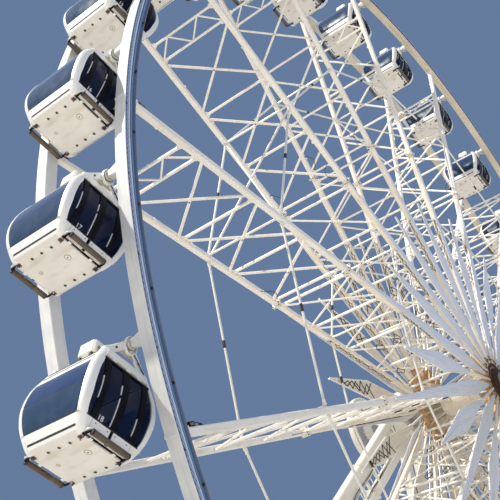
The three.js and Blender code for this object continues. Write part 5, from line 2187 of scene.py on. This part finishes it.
@dataclass
class Studio:
    """The camera, the lights, the plain backdrop and the pale floor."""

    camera_at: Place = (-23.2357, -10.8815, 1.6543)
    right: Place = (0.62244, -0.77847, 0.08092)
    up: Place = (-0.605, -0.41298, 0.68075)
    lens: float = 62.83
    backdrop: Colour = (0.13, 0.2, 0.34)
    sky: Colour = (0.5, 0.62, 0.86)
    ground_light: Colour = (0.62, 0.56, 0.48)
    sky_strength: float = 0.75
    floor_half: float = 160.0

    def camera(self) -> None:
        """Sets the camera at the photo's viewing angle."""
        data = bpy.data.cameras.new("camera")
        data.lens = self.lens
        data.sensor_width = 36.0
        data.clip_end = 500.0
        made = shown("camera", data)
        right, up = Vector(self.right), Vector(self.up)
        turn = Matrix((right, up, right.cross(up))).transposed()
        made.matrix_world = Matrix.Translation(self.camera_at) @ turn.to_4x4()
        bpy.context.scene.camera = made

    def sun(self, name: str, strength: float, spread: float, colour: Colour, source: Point) -> None:
        """Adds a distant light.

        Args:
            name: Its name.
            strength: Its strength.
            spread: Its angular size in degrees.
            colour: Its colour.
            source: The direction that it comes from.
        """
        data = bpy.data.lights.new(name, "SUN")
        data.energy = strength
        data.angle = radians(spread)
        data.color = colour
        shown(name, data).rotation_euler = Vector(source).to_track_quat("Z", "Y").to_euler()

    def world(self) -> None:
        """Adds the soft light from the sky and the ground, behind a plain backdrop."""
        world = bpy.data.worlds.new("studio")
        world.use_nodes = True
        bpy.context.scene.world = world
        tree = Tree(world.node_tree)
        soft, output = tree.nodes["Background"], tree.nodes["World Output"]
        place = tree.node("ShaderNodeTexCoord").outputs["Generated"]
        height = tree.node("ShaderNodeSeparateXYZ", {0: place}).outputs["Z"]
        light = tree.blend(tree.spread(height, (-0.2, 0.35), (0.0, 1.0)), self.ground_light, self.sky)
        tree.feed(soft.inputs["Color"], light)
        tree.feed(soft.inputs["Strength"], self.sky_strength)
        plain = tree.node("ShaderNodeBackground", {"Color": self.backdrop})
        seen = tree.node("ShaderNodeLightPath").outputs["Is Camera Ray"]
        choice = tree.node("ShaderNodeMixShader", {0: seen, 1: soft.outputs[0], 2: plain.outputs[0]})
        tree.feed(output.inputs["Surface"], choice.outputs[0])

    def floor(self) -> None:
        """Adds the pale floor."""
        half = self.floor_half
        mesh = bpy.data.meshes.new("studio_floor")
        mesh.from_pydata([(-half, -half, 0.0), (half, -half, 0.0), (half, half, 0.0), (-half, half, 0.0)], [],
            [(0, 1, 2, 3)])
        graph = Graph("studio_floor")
        shader = graph.nodes["Principled BSDF"]
        patches = graph.noise(graph.place(False), 0.05, 2.0)
        graph.feed(shader.inputs["Base Color"], graph.blend(patches, (0.66, 0.62, 0.55), (0.72, 0.68, 0.61)))
        graph.feed(shader.inputs["Roughness"], 0.8)
        mesh.materials.append(graph.material)
        floor = shown("studio_floor", mesh)
        floor.visible_shadow = False

    def build(self) -> None:
        """Builds the studio."""
        bpy.context.scene.view_settings.view_transform = "Standard"
        self.camera()
        self.sun("sun", 4.3, 1.5, (1.0, 0.95, 0.86), (-0.75, 0.35, 0.55))
        self.sun("bounce", 0.95, 80.0, (1.0, 0.94, 0.84), (-0.35, -0.25, -0.9))
        self.world()
        self.floor()


def main() -> None:
    """Builds the studio and every sub-assembly."""
    logging.basicConfig(level=logging.INFO, format="%(message)s")
    Studio().build()
    Cabins().build()
    for place, sign in (("near", -1), ("far", 1)):
        Rim(place, sign).build()
        Star(place, sign).build()
        Head(place, sign).build()
        low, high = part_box(f"{place}_base_beam")
        BaseBeam(place, low, high).build()
        for hand, side in (("left", -1), ("right", 1)):
            Leg(f"{place}_{hand}", side, sign).build()
    Spokes().build()
    TieRods().build()
    Hub().build()
    Axle().build()
    low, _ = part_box("boarding_deck")
    BoardingDeck().build(-low.y)


if __name__ == "__main__":
    main()
